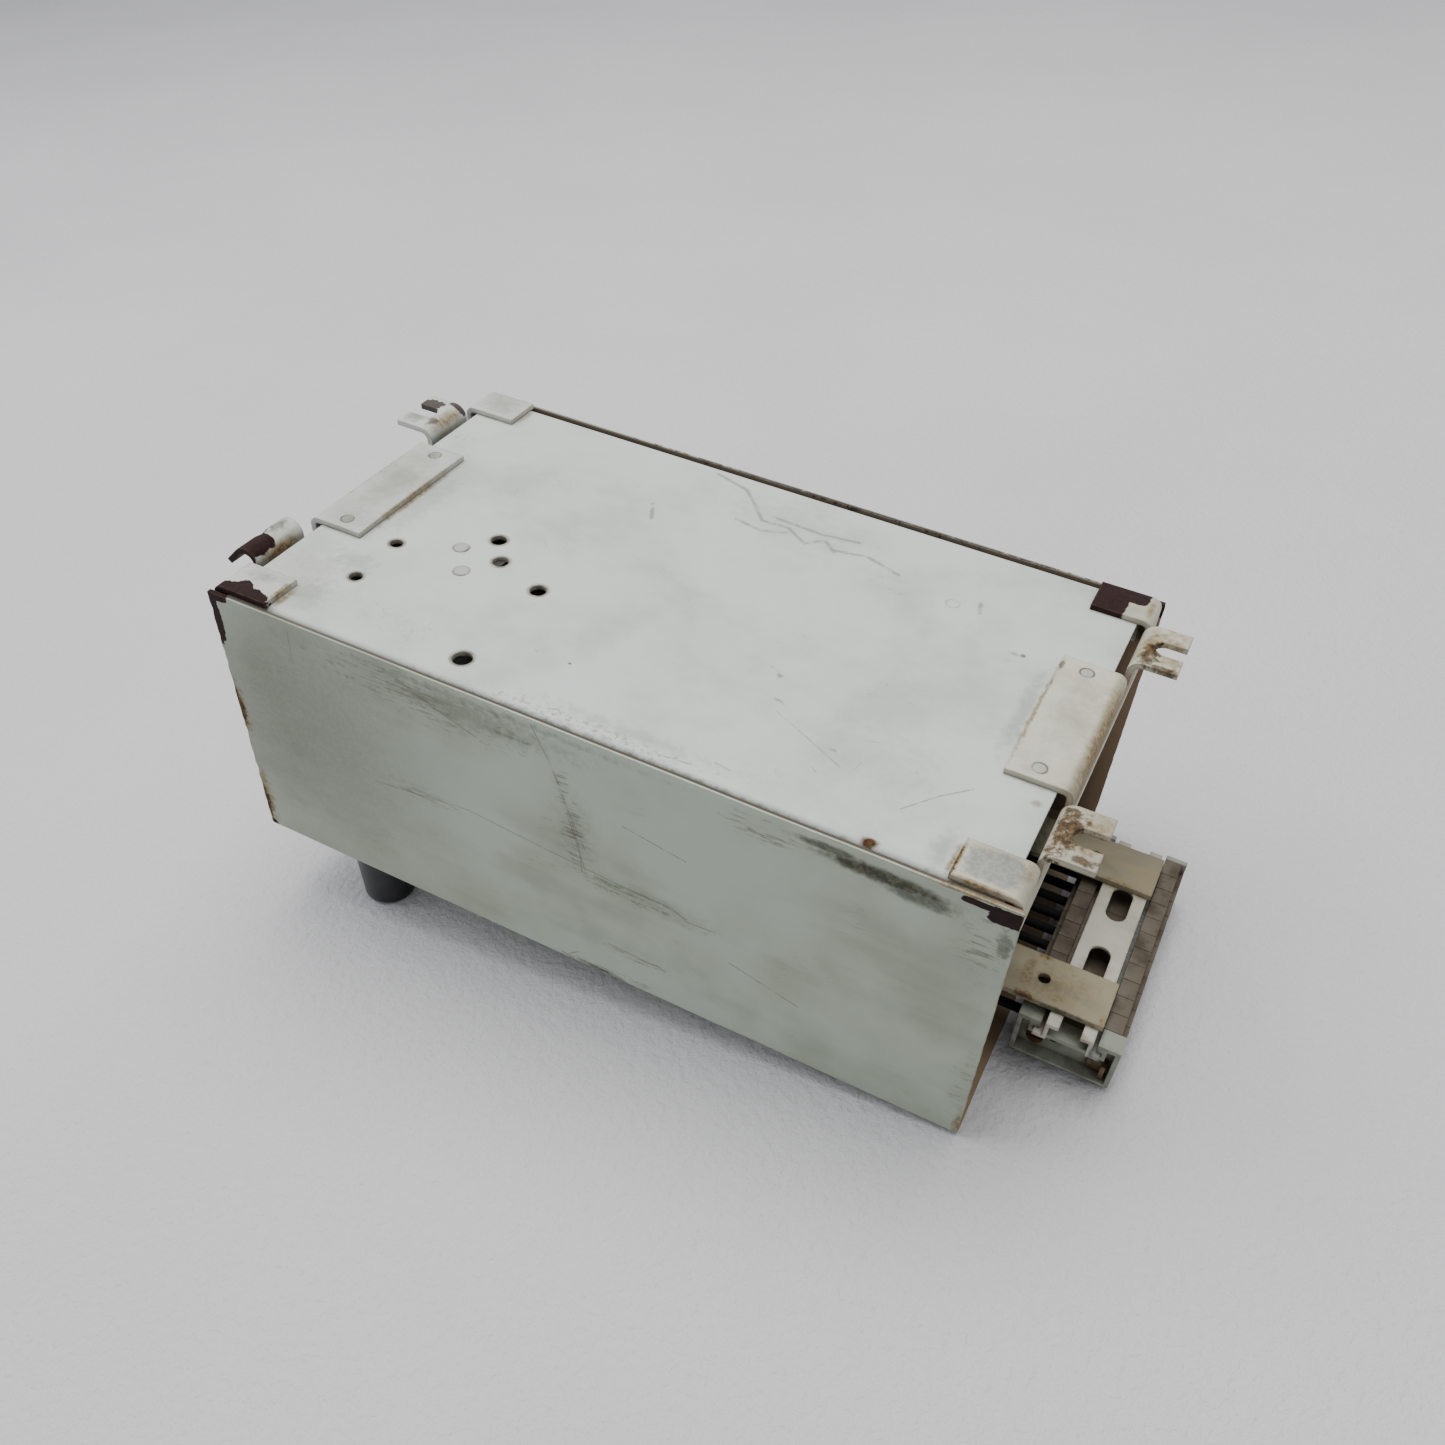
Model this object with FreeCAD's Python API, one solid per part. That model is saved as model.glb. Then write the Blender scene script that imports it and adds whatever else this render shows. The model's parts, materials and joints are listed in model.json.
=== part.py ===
import FreeCAD, Part
import math
import os

Vector = FreeCAD.Vector
X_AXIS = Vector(1, 0, 0)
Y_AXIS = Vector(0, 1, 0)
Z_AXIS = Vector(0, 0, 1)

# Frame: origin at the centre of the four feet, on their seating plane.
# +Z points out of the back towards the wall, +X to the terminal end.

# Case
box_length = 200.0
box_width = 114.0
box_depth = 79.0          # back plate's outer face to the cover's front
cover_sheet = 1.2
plate_sheet = 1.2
panel_sheet = 1.5
seat_height = 2.7         # feet stand this far off the back plate
end_inset = 0.6           # end panels sit inside the cover's ends
side_gap = 0.4            # chassis to the cover's side sheets
front_gap = 0.3           # chassis flanges to the cover's front
plate_end_gap = 2.2       # back plate's ends to the end panels
plate_rim = 12.0          # depth of the back plate's folded long edges
bend_radius = 1.0         # inside radius of a sharp fold
case_bend_radius = 0.8    # inside radius of the long folds

# End panel details
tab_reach = 15.5
flange_reach = 15.5
foot_width = 16.2
foot_inset = 22.7         # foot centre from the side of the box
tab_gap = 2.0             # tab to foot
flange_gap = 4.45         # centre flange to foot
foot_reach = 9.8          # foot tip beyond the end panel's outer face
foot_bend_radius = 2.0
foot_slot_width = 5.2
foot_slot_length = 7.0
relief_depth = 4.0
top_strip_depth = 13.0    # right end panel stops this far below the plate
front_lip_reach = 12.0

# Fixings
flange_rivet_radius = 1.65
flange_rivet_edge = 3.75  # rivet centre from the end of its flange
flange_rivet_inset = 9.5
plate_rivet_radius = 2.0
rivet_tail_radius = 2.6
rivet_tail_height = 0.9
rectifier_tail_radius = 2.8
cover_screw_radius = 1.5
cover_screw_length = 7.0
screw_clearance = 0.1
cover_screw_inset = 8.0
cover_screw_edge = 17.0   # screw centre from the side of the box
countersink_radius = 2.8

# Back plate holes: offset from the left end, from the near side, radius
plate_holes = (
    (24.9, 38.3, 1.65),
    (25.3, 22.3, 1.65),
    (45.5, 52.5, 2.05),
    (51.1, 45.0, 2.05),
    (65.5, 39.7, 2.1),
    (65.2, 9.7, 2.4),
)
plate_rivet_places = ((39.4, 45.1), (45.2, 37.0))

# Bulkhead, arms, rail
bulkhead_inset = 27.5     # bulkhead's outer face from the box end
bulkhead_lip_reach = 12.0
arm_rise = 22.0           # arms' top face above the cover's front
arm_width = 14.0
arm_reach = 21.7          # arm tip beyond the box end
near_arm_centre = -21.5
far_arm_centre = 23.4
arm_hole_radius = 1.5
arm_hole_reach = 5.4
window_margin = 1.5
rail_sheet = 1.0
rail_base_width = 11.4
rail_width = 16.0
rail_height = 5.5
rail_centre_reach = 15.2  # rail's middle beyond the box end
rail_near_end = -32.7
row_overhang = 1.5        # terminals beyond the far end of the rail
rail_slot_width = 5.1
rail_slot_length = 11.8
rail_slot_pitch = 21.3
rail_slot_start = -15.9   # near end of the first full slot

wall_side_gap = 2.0       # bulkhead to the chassis side line
roof_side_gap = 4.0       # bulkhead's folds to the chassis side line
window_drop = 8.0         # top of the bulkhead's window below the plate
loom_slot_margin = 4.0

# Terminals
terminal_count = 11
terminal_pitch = 5.5
terminal_gap = 0.12
terminal_length = 24.5
terminal_height = 14.0
terminal_overlap = 2.5    # terminals reach this far above the rail's lip
terminal_rail_gap = 0.15
hook_reach = 1.4
clamp_width = 5.4
clamp_setback = 1.7       # end clamp from the rail's near end
clamp_rim = 1.2
clamp_pocket = 3.4
end_plate_width = 1.5
wire_hole_radius = 1.5
wire_radius = 1.2
terminal_screw_radius = 1.6
terminal_screw_inset = 6.4
terminal_screw_length = 5.0
terminal_well_depth = 3.0
terminal_step = 1.3
terminal_step_depth = 3.0
terminal_shank_radius = 1.0
terminal_head_recess = 0.8
wire_height = 5.2         # wire mouths above the terminals' front
wire_mouth_depth = 5.0
clamp_screw_inset = 5.0
clamp_screw_height = 5.4
clamp_head_radius = 2.1
clamp_head_height = 1.6
clamp_shank_radius = 1.25

# Knobs and potentiometers
knob_inset_x = 27.6
knob_length = 20.4
knob_gap = 0.5
knob_base_radius = 7.8
knob_end_radius = 7.0
knob_edge = 0.9
knob_screw_radius = 1.2
pot_radius = 8.0
pot_side_gap = 2.0        # potentiometer can to the cover's side sheet
pot_height = 9.0
pot_bush_radius = 3.9
pot_bush_length = 6.0
pot_nut_width = 10.0
pot_nut_height = 2.0
nut_gap = 0.4
shaft_radius = 3.0
shaft_clearance = 0.05
shaft_grip = 9.0

# Circuit board
board_side_gap = 6.2      # board to the back plate's folded edges
board_bulkhead_gap = 5.0
board_sheet = 1.6
board_drop = 10.0         # board below the back plate's inner face
board_start = 74.0        # board's left edge from the box's left end
stud_radius = 1.5
stud_inset = 5.0
nut_width = 5.5
nut_height = 2.4
lead_radius = 0.4
header_width = 10.0
header_height = 9.0
header_inset = 8.6
loom_radius = 10.0
loom_step = 2.0           # every second wire bends wider
rectifier_half = 9.0
rectifier_height = 6.0
rectifier_leg_offset = 6.0
rectifier_leg_reach = 12.0
transformer_lead_radius = 0.9
transformer_lead_bend = 5.0

# Transformer
core_length = 44.0
core_stack = 28.0
core_height = 38.0
core_leg = 12.0
window_width = 10.0
core_yoke = 6.0
winding_clearance = 0.4
bobbin_wall = 0.8
winding_bulge = 8.0
strap_sheet = 1.0
strap_width = 24.0
strap_ear = 10.0
transformer_x = 46.0      # centre from the left end
transformer_y = 31.0      # centre from the far side

# Places that follow from the sizes above
half_length = box_length / 2
half_width = box_width / 2
plate_top = -seat_height
plate_under = plate_top - plate_sheet
front_z = plate_top - box_depth
cover_inner_z = front_z + cover_sheet
lip_z = cover_inner_z + front_gap
panel_out = half_length - end_inset
panel_in = panel_out - panel_sheet
inner_half = half_width - cover_sheet - side_gap
plate_end = panel_in - plate_end_gap
foot_offset = half_width - foot_inset
tab_width = inner_half - foot_offset - foot_width / 2 - tab_gap
flange_half = foot_offset - foot_width / 2 - flange_gap
rivet_offset = flange_half - flange_rivet_edge
cover_screw_offset = half_width - cover_screw_edge
bulkhead_out = half_length - bulkhead_inset
bulkhead_in = bulkhead_out - panel_sheet
arm_top = front_z + arm_rise
arm_under = arm_top - panel_sheet
arm_tip = half_length + arm_reach
rail_x = half_length + rail_centre_reach
rail_lip_top = arm_under - rail_height + rail_sheet
terminal_top = rail_lip_top + terminal_overlap
terminal_bottom = terminal_top - terminal_height
row_start = rail_near_end + clamp_setback + clamp_width
row_end = row_start + terminal_count * terminal_pitch
rail_far_end = row_end - row_overhang
terminal_left = rail_x - terminal_length / 2
terminal_right = rail_x + terminal_length / 2
wire_z = terminal_bottom + wire_height
board_top = plate_under - board_drop
board_under = board_top - board_sheet
board_left = -half_length + board_start
board_right = bulkhead_in - board_bulkhead_gap
board_half = inner_half - plate_sheet - board_side_gap
header_right = board_right - header_inset
loom_bottom = board_under - header_height
shaft_bottom = front_z - knob_gap - shaft_grip - 3.0


def from_corner(x, y):
    """Turns offsets from the near left corner into places in the frame."""
    return x - half_length, y - half_width


def block(x0, x1, y0, y1, z0, z1):
    """A box between two corners."""
    low = Vector(min(x0, x1), min(y0, y1), min(z0, z1))
    return Part.makeBox(abs(x1 - x0), abs(y1 - y0), abs(z1 - z0), low)


def upright(x, y, z0, z1, radius):
    """A cylinder along Z."""
    return Part.makeCylinder(radius, z1 - z0, Vector(x, y, z0), Z_AXIS)


def round_edges(solid, radius, test):
    """Rounds the edges whose two end points pass the test."""
    chosen = [e for e in solid.Edges if all(test(v.Point) for v in e.Vertexes)]
    return solid.makeFillet(radius, chosen)


def hexagon(x, y, z0, z1, width, bore):
    """A hexagon nut along Z with a plain bore."""
    corner = width / math.sqrt(3)
    points = []
    for turn in range(7):
        angle = math.radians(60 * turn)
        points.append(Vector(x + corner * math.cos(angle), y + corner * math.sin(angle), z0))
    body = Part.Face(Part.makePolygon(points)).extrude(Vector(0, 0, z1 - z0))
    return body.cut(upright(x, y, z0 - 1, z1 + 1, bore))


def fold_strip(reach, radius, top, direction, y0, y1, foot_z):
    """A sheet that rises along the end panel and folds over at the given top face.

    direction is +1 to fold outwards and -1 to fold inwards, for the right end."""
    if direction > 0:
        centre_x = panel_out + radius
        tip_x = panel_out + reach
        wall_near, wall_far = panel_out, panel_in
    else:
        centre_x = panel_in - radius
        tip_x = panel_out - reach
        wall_near, wall_far = panel_in, panel_out
    outer = radius + panel_sheet
    centre_z = top - outer
    slant = math.sqrt(0.5)
    inner_mid = Vector(centre_x - direction * radius * slant, y0, centre_z + radius * slant)
    outer_mid = Vector(centre_x - direction * outer * slant, y0, centre_z + outer * slant)
    inner_start = Vector(wall_near, y0, centre_z)
    inner_end = Vector(centre_x, y0, centre_z + radius)
    outer_start = Vector(wall_far, y0, centre_z)
    outer_end = Vector(centre_x, y0, top)
    tip_low = Vector(tip_x, y0, top - panel_sheet)
    tip_high = Vector(tip_x, y0, top)
    base_near = Vector(wall_near, y0, foot_z)
    base_far = Vector(wall_far, y0, foot_z)
    edges = [
        Part.makeLine(base_near, inner_start),
        Part.Arc(inner_start, inner_mid, inner_end).toShape(),
        Part.makeLine(inner_end, tip_low),
        Part.makeLine(tip_low, tip_high),
        Part.makeLine(tip_high, outer_end),
        Part.Arc(outer_end, outer_mid, outer_start).toShape(),
        Part.makeLine(outer_start, base_far),
        Part.makeLine(base_far, base_near),
    ]
    return Part.Face(Part.Wire(edges)).extrude(Vector(0, y1 - y0, 0))


def foot(centre_y):
    """One forked foot of the right end panel."""
    y0 = centre_y - foot_width / 2
    strip = fold_strip(foot_reach, foot_bend_radius, 0.0, 1, y0, y0 + foot_width, wall_top())
    tip = panel_out + foot_reach
    root = tip - foot_slot_length + foot_slot_width / 2
    slot = block(root, tip + 1, centre_y - foot_slot_width / 2, centre_y + foot_slot_width / 2, -4, 1)
    slot = slot.fuse(upright(root, centre_y, -4, 1, foot_slot_width / 2))
    return strip.cut(slot)


def wall_top():
    """Height at which the end panel's plain wall stops and its folds start."""
    return plate_top - relief_depth


def end_panel(bottom_z, has_lip):
    """End panel of the right end, with its folds; the left one is its mirror image."""
    panel = block(panel_in, panel_out, -inner_half, inner_half, bottom_z, wall_top())
    flange_top = plate_top + panel_sheet
    start = wall_top()
    for y0 in (-inner_half, inner_half - tab_width):
        panel = panel.fuse(fold_strip(tab_reach, bend_radius, flange_top, -1, y0, y0 + tab_width, start))
    middle = fold_strip(flange_reach, bend_radius, flange_top, -1, -flange_half, flange_half, start)
    panel = panel.fuse(middle)
    for centre_y in (-foot_offset, foot_offset):
        panel = panel.fuse(foot(centre_y))
    if has_lip:
        lip_in = panel_out - front_lip_reach
        lip = block(lip_in, panel_out, -inner_half, inner_half, lip_z, lip_z + panel_sheet)
        panel = panel.fuse(lip)
        for y in (-cover_screw_offset, cover_screw_offset):
            hole = upright(half_length - cover_screw_inset, y, lip_z - 1, lip_z + 3,
                           cover_screw_radius + screw_clearance)
            panel = panel.cut(hole)
    for x, y in flange_rivet_places():
        panel = panel.cut(upright(x, y, plate_top - 1, plate_top + 3, flange_rivet_radius))
    return panel.removeSplitter()


def flange_rivet_places():
    """Rivets of the right end's centre flange."""
    x = half_length - flange_rivet_inset
    return [(x, -rivet_offset), (x, rivet_offset)]


def make_right_end_panel():
    """Shallow end panel: the wiring bay is open below it."""
    return end_panel(plate_top - top_strip_depth, False)


def make_left_end_panel():
    """Full-depth end panel."""
    return end_panel(lip_z, True).mirror(Vector(0, 0, 0), X_AXIS)


def channel(x0, x1, half, top, bottom, sheet, radius):
    """A U of sheet along X, open upwards, with its two long folds rounded."""
    def section(offset, upper):
        h = half - offset
        low = bottom + offset
        r = radius + sheet - offset
        slant = r * (1 - math.sqrt(0.5))
        y_in = h - r
        z_in = low + r
        points = [
            Vector(x0, -h, upper), Vector(x0, -h, z_in),
            Vector(x0, -y_in, low), Vector(x0, y_in, low),
            Vector(x0, h, z_in), Vector(x0, h, upper),
        ]
        near_mid = Vector(x0, -h + slant, low + slant)
        far_mid = Vector(x0, h - slant, low + slant)
        edges = [
            Part.makeLine(points[0], points[1]),
            Part.Arc(points[1], near_mid, points[2]).toShape(),
            Part.makeLine(points[2], points[3]),
            Part.Arc(points[3], far_mid, points[4]).toShape(),
            Part.makeLine(points[4], points[5]),
            Part.makeLine(points[5], points[0]),
        ]
        return Part.Face(Part.Wire(edges)).extrude(Vector(x1 - x0, 0, 0))
    return section(0.0, top).cut(section(sheet, top + 1))


def make_cover():
    """Near side, front and far side in one folded sheet."""
    cover = channel(
        -half_length, half_length, half_width, plate_top, front_z, cover_sheet, case_bend_radius
    )
    for x, y in cover_screw_places():
        cover = cover.cut(upright(x, y, front_z - 1, front_z + 4, cover_screw_radius + screw_clearance))
        sink = Part.makeCone(countersink_radius, cover_screw_radius + screw_clearance, cover_sheet,
                             Vector(x, y, front_z), Z_AXIS)
        cover = cover.cut(sink)
    for x, y in knob_places():
        cover = cover.cut(upright(x, y, front_z - 1, front_z + 4, pot_bush_radius))
    return cover


def cover_screw_places():
    """Two screws into the left end panel and two into the bulkhead."""
    right_x = bulkhead_out - cover_screw_inset
    left_x = -half_length + cover_screw_inset
    return [(x, y) for x in (left_x, right_x) for y in (-cover_screw_offset, cover_screw_offset)]


def make_cover_screws():
    """Countersunk screws, flush with the cover's front."""
    screws = []
    for x, y in cover_screw_places():
        head = Part.makeCone(countersink_radius, cover_screw_radius, cover_sheet,
                             Vector(x, y, front_z), Z_AXIS)
        shank = upright(x, y, front_z + 0.2, front_z + cover_screw_length, cover_screw_radius)
        driver = block(x - 2.0, x + 2.0, y - 0.4, y + 0.4, front_z - 1, front_z + 0.6)
        cross = block(x - 0.4, x + 0.4, y - 2.0, y + 2.0, front_z - 1, front_z + 0.6)
        screws.append(head.fuse(shank).cut(driver).cut(cross).removeSplitter())
    return screws


def make_back_plate():
    """Tray between the cover's side sheets, folded down along its long edges."""
    tray = channel(
        -plate_end, plate_end, inner_half, plate_rim - plate_top, -plate_top,
        plate_sheet, case_bend_radius
    )
    tray = tray.mirror(Vector(0, 0, 0), Z_AXIS)
    for x, y, radius in plate_holes:
        px, py = from_corner(x, y)
        tray = tray.cut(upright(px, py, plate_under - 1, plate_top + 1, radius))
    for x, y in plate_rivet_places:
        px, py = from_corner(x, y)
        tray = tray.cut(upright(px, py, plate_under - 1, plate_top + 1, plate_rivet_radius))
    for x, y in all_flange_rivets():
        tray = tray.cut(upright(x, y, plate_under - 1, plate_top + 1, flange_rivet_radius))
    return tray


def all_flange_rivets():
    """Rivets of both centre flanges."""
    right = flange_rivet_places()
    return right + [(-x, y) for x, y in right]


def make_flange_rivets():
    """Flush rivets through the centre flanges and the back plate."""
    rivets = []
    for x, y in all_flange_rivets():
        shank = upright(x, y, plate_under, plate_top + panel_sheet, flange_rivet_radius)
        tail = upright(x, y, plate_under - rivet_tail_height, plate_under, rivet_tail_radius)
        rivets.append(shank.fuse(tail).removeSplitter())
    return rivets


def make_plate_rivets():
    """Flush rivets that hold the rectifier."""
    rivets = []
    low = plate_under - rectifier_height
    for x, y in plate_rivet_places:
        px, py = from_corner(x, y)
        shank = upright(px, py, low, plate_top, plate_rivet_radius)
        tail = upright(px, py, low - rivet_tail_height, low, rectifier_tail_radius)
        rivets.append(shank.fuse(tail).removeSplitter())
    return rivets


def make_rectifier():
    """Bridge rectifier block, clamped to the back plate by its two rivets."""
    centres = [from_corner(x, y) for x, y in plate_rivet_places]
    cx = sum(c[0] for c in centres) / 2
    cy = sum(c[1] for c in centres) / 2
    low = plate_under - rectifier_height
    half = rectifier_half
    body = block(cx - half, cx + half, cy - half, cy + half, low, plate_under)
    body = round_edges(body, 1.0, lambda p: p.z < low + 0.1)
    for px, py in centres:
        body = body.cut(upright(px, py, low - 1, plate_under + 1, plate_rivet_radius))
    for offset in (-rectifier_leg_offset, rectifier_leg_offset):
        body = body.fuse(upright(cx + offset, cy + offset, plate_under - rectifier_leg_reach,
                                 low + 0.5, lead_radius))
    return body


def make_bulkhead():
    """Cross wall of the wiring bay; the rail arms are folded out of its window."""
    wall_half = inner_half - wall_side_gap
    fold_half = inner_half - roof_side_gap
    wall = block(bulkhead_in, bulkhead_out, -wall_half, wall_half, lip_z, plate_under)
    window = block(bulkhead_in - 1, bulkhead_out + 1,
                   near_arm_centre - arm_width / 2 - window_margin,
                   far_arm_centre + arm_width / 2 + window_margin,
                   arm_top, plate_under - window_drop)
    margin = loom_slot_margin
    slot = block(bulkhead_in - 1, bulkhead_out + 1, row_start - margin, row_end + margin,
                 wire_z - margin, wire_z + margin)
    wall = wall.cut(window).cut(slot)
    for centre in (near_arm_centre, far_arm_centre):
        arm = block(bulkhead_in, arm_tip, centre - arm_width / 2, centre + arm_width / 2,
                    arm_under, arm_top)
        arm = arm.cut(upright(half_length + arm_hole_reach, centre, arm_under - 1, arm_top + 1,
                              arm_hole_radius))
        wall = wall.fuse(arm)
    roof = block(bulkhead_out, bulkhead_out + bulkhead_lip_reach, -fold_half, fold_half,
                 plate_under - panel_sheet, plate_under)
    lip = block(bulkhead_in - bulkhead_lip_reach, bulkhead_in, -fold_half, fold_half,
                lip_z, lip_z + panel_sheet)
    wall = wall.fuse(roof).fuse(lip)
    for y in (-cover_screw_offset, cover_screw_offset):
        wall = wall.cut(upright(bulkhead_out - cover_screw_inset, y, lip_z - 1, lip_z + 3,
                                cover_screw_radius + screw_clearance))
    return wall.removeSplitter()


def make_terminal_rail():
    """Slotted top-hat rail under the arms, lips towards the front."""
    half_base = rail_base_width / 2
    half_rail = rail_width / 2
    top = arm_under
    lip_low = arm_under - rail_height
    hat = block(rail_x - half_base, rail_x + half_base, rail_near_end, rail_far_end, lip_low, top)
    hollow = block(rail_x - half_base + rail_sheet, rail_x + half_base - rail_sheet,
                   rail_near_end - 1, rail_far_end + 1, lip_low - 1, top - rail_sheet)
    hat = hat.cut(hollow)
    for side in (-1, 1):
        lip = block(rail_x + side * (half_base - rail_sheet), rail_x + side * half_rail,
                    rail_near_end, rail_far_end, lip_low, lip_low + rail_sheet)
        hat = hat.fuse(lip)
    radius = rail_slot_width / 2
    y0 = rail_slot_start - rail_slot_pitch
    while y0 < rail_far_end:
        slot = block(rail_x - radius, rail_x + radius, y0 + radius, y0 + rail_slot_length - radius,
                     top - 2, top + 1)
        for y in (y0 + radius, y0 + rail_slot_length - radius):
            slot = slot.fuse(upright(rail_x, y, top - 2, top + 1, radius))
        hat = hat.cut(slot)
        y0 += rail_slot_pitch
    return hat.removeSplitter()


def terminal_blank(y0, y1):
    """A moulded body that hooks over the rail's lips."""
    body = block(terminal_left, terminal_right, y0, y1, terminal_bottom, terminal_top)
    body = round_edges(body, 0.6, lambda p: p.z < terminal_bottom + 0.01)
    half_rail = rail_width / 2 + terminal_rail_gap
    lip_low = arm_under - rail_height
    seat = block(rail_x - half_rail, rail_x + half_rail, y0 - 1, y1 + 1,
                 lip_low, rail_lip_top + terminal_rail_gap)
    throat = block(rail_x - half_rail + hook_reach, rail_x + half_rail - hook_reach, y0 - 1, y1 + 1,
                   lip_low, terminal_top + 1)
    return body.cut(seat).cut(throat)


def terminal_screw_places():
    """Screw offsets from the rail's middle."""
    offset = terminal_length / 2 - terminal_screw_inset
    return (-offset, offset)


def terminal_y(index):
    """Near and far face of a terminal block, counted from the near one."""
    y0 = row_start + index * terminal_pitch
    return y0, y0 + terminal_pitch - terminal_gap


def make_terminal_block(index):
    """One feed-through block: two screw wells and two wire mouths."""
    y0, y1 = terminal_y(index)
    middle = (y0 + y1) / 2
    body = terminal_blank(y0, y1)
    for side in (-1, 1):
        edge = rail_x + side * terminal_length / 2
        body = body.cut(block(edge - side * terminal_step, edge + side, y0 - 1, y1 + 1,
                              terminal_top - terminal_step_depth, terminal_top + 1))
        mouth = Part.makeCylinder(wire_hole_radius, wire_mouth_depth,
                                  Vector(edge - side * wire_mouth_depth, middle, wire_z), X_AXIS * side)
        body = body.cut(mouth)
    for offset in terminal_screw_places():
        well = upright(rail_x + offset, middle, terminal_bottom - 1,
                       terminal_bottom + terminal_well_depth, terminal_screw_radius + 0.3)
        body = body.cut(well)
        body = body.cut(upright(rail_x + offset, middle, terminal_bottom,
                                terminal_bottom + terminal_well_depth + 3.0, terminal_shank_radius))
    return body


def make_terminal_screws():
    """Slotted clamp screws, two to a block, seen from the front."""
    screws = []
    for index in range(terminal_count):
        y0, y1 = terminal_y(index)
        middle = (y0 + y1) / 2
        for offset in terminal_screw_places():
            x = rail_x + offset
            low = terminal_bottom + terminal_head_recess
            head = upright(x, middle, low, terminal_bottom + terminal_well_depth, terminal_screw_radius)
            shank = upright(x, middle, low, low + terminal_screw_length, terminal_shank_radius)
            driver = block(x - 2, x + 2, middle - 0.25, middle + 0.25, low - 1, low + 0.7)
            screws.append(head.fuse(shank).cut(driver).removeSplitter())
    return screws


def make_end_clamp():
    """Moulded end clamp: an open pocket on its near face behind a thin rim."""
    y1 = row_start - terminal_gap
    y0 = y1 - clamp_width
    body = terminal_blank(y0, y1)
    lip_low = arm_under - rail_height
    lower = block(terminal_left + clamp_rim, terminal_right - clamp_rim, y0 - 1, y0 + clamp_pocket,
                  terminal_bottom + clamp_rim, lip_low - clamp_rim)
    left = block(terminal_left + clamp_rim, rail_x - rail_width / 2 - clamp_rim, y0 - 1, y0 + clamp_pocket,
                 terminal_bottom + clamp_rim, terminal_top - clamp_rim)
    right = block(rail_x + rail_width / 2 + clamp_rim, terminal_right - clamp_rim, y0 - 1,
                  y0 + clamp_pocket, terminal_bottom + clamp_rim, terminal_top - clamp_rim)
    body = body.cut(lower).cut(left).cut(right)
    for x, radius in ((clamp_screw_x(), clamp_shank_radius), (rail_x - 3.0, 1.1)):
        hole = Part.makeCylinder(radius, clamp_width + 2, Vector(x, y0 - 1, clamp_screw_z()), Y_AXIS)
        body = body.cut(hole)
    return body


def clamp_screw_x():
    """Middle of the end clamp's screw."""
    return terminal_left + clamp_screw_inset


def clamp_screw_z():
    """Height of the end clamp's screw."""
    return terminal_bottom + clamp_screw_height


def make_end_clamp_screw():
    """Cheese-head screw across the end clamp, head in the pocket."""
    y1 = row_start - terminal_gap
    web = y1 - clamp_width + clamp_pocket
    x = clamp_screw_x()
    z = clamp_screw_z()
    face = web - clamp_head_height
    head = Part.makeCylinder(clamp_head_radius, clamp_head_height, Vector(x, face, z), Y_AXIS)
    shank = Part.makeCylinder(clamp_shank_radius, y1 - face, Vector(x, face, z), Y_AXIS)
    driver = block(x - 3, x + 3, face - 1.0, face + 0.6, z - 0.3, z + 0.3)
    return head.fuse(shank).cut(driver).removeSplitter()


def make_end_clip():
    """Folded metal clip in the end clamp's outer pocket."""
    y0 = row_start - terminal_gap - clamp_width
    x0 = terminal_right - 6.6
    z0 = terminal_bottom + 2.2
    base = block(x0, x0 + 4.6, y0 + clamp_pocket - 1.0, y0 + clamp_pocket, z0, z0 + 4.2)
    tongue = block(x0 + 3.4, x0 + 4.6, y0 + 0.6, y0 + clamp_pocket, z0, z0 + 4.2)
    spur = block(x0, x0 + 1.0, y0 + 1.4, y0 + clamp_pocket, z0 + 2.6, z0 + 4.2)
    return base.fuse(tongue).fuse(spur).removeSplitter()


def make_end_plate():
    """Flat plate that closes the far end of the row."""
    return terminal_blank(row_end, row_end + end_plate_width)


def make_loom_wires():
    """One wire from the header to each terminal: down, round and out."""
    wires = []
    for index in range(terminal_count):
        y0, y1 = terminal_y(index)
        y = (y0 + y1) / 2
        x = header_right - 3.0 - 4.0 * (index % 2)
        radius = loom_radius + loom_step * (index % 2)
        slant = radius * (1 - math.sqrt(0.5))
        corner_start = Vector(x, y, wire_z + radius)
        corner_mid = Vector(x + slant, y, wire_z + slant)
        corner_end = Vector(x + radius, y, wire_z)
        start = Vector(x, y, loom_bottom)
        finish = Vector(terminal_left + 4.0, y, wire_z)
        path = Part.Wire([
            Part.makeLine(start, corner_start),
            Part.Arc(corner_start, corner_mid, corner_end).toShape(),
            Part.makeLine(corner_end, finish),
        ])
        section = Part.Wire(Part.makeCircle(wire_radius, start, Z_AXIS))
        wires.append(path.makePipeShell([section], True, False))
    return wires


def make_circuit_board():
    """Board under the back plate, components towards the front."""
    board = block(board_left, board_right, -board_half, board_half, board_under, board_top)
    for x, y in board_stud_places():
        board = board.cut(upright(x, y, board_under - 1, board_top + 1, stud_radius + 0.1))
    return board


def board_stud_places():
    """The board's four corner studs."""
    xs = (board_left + stud_inset, board_right - stud_inset)
    ys = (-board_half + stud_inset, board_half - stud_inset)
    return [(x, y) for x in xs for y in ys]


def make_board_studs():
    """Studs clinched into the back plate's inner face, with a shoulder under the board."""
    studs = []
    for x, y in board_stud_places():
        shoulder = upright(x, y, board_top, plate_under, 2.75)
        thread = upright(x, y, board_under - 3.6, plate_under, stud_radius)
        studs.append(shoulder.fuse(thread).removeSplitter())
    return studs


def transformer_centre():
    """Middle of the transformer."""
    return transformer_x - half_length, half_width - transformer_y


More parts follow.
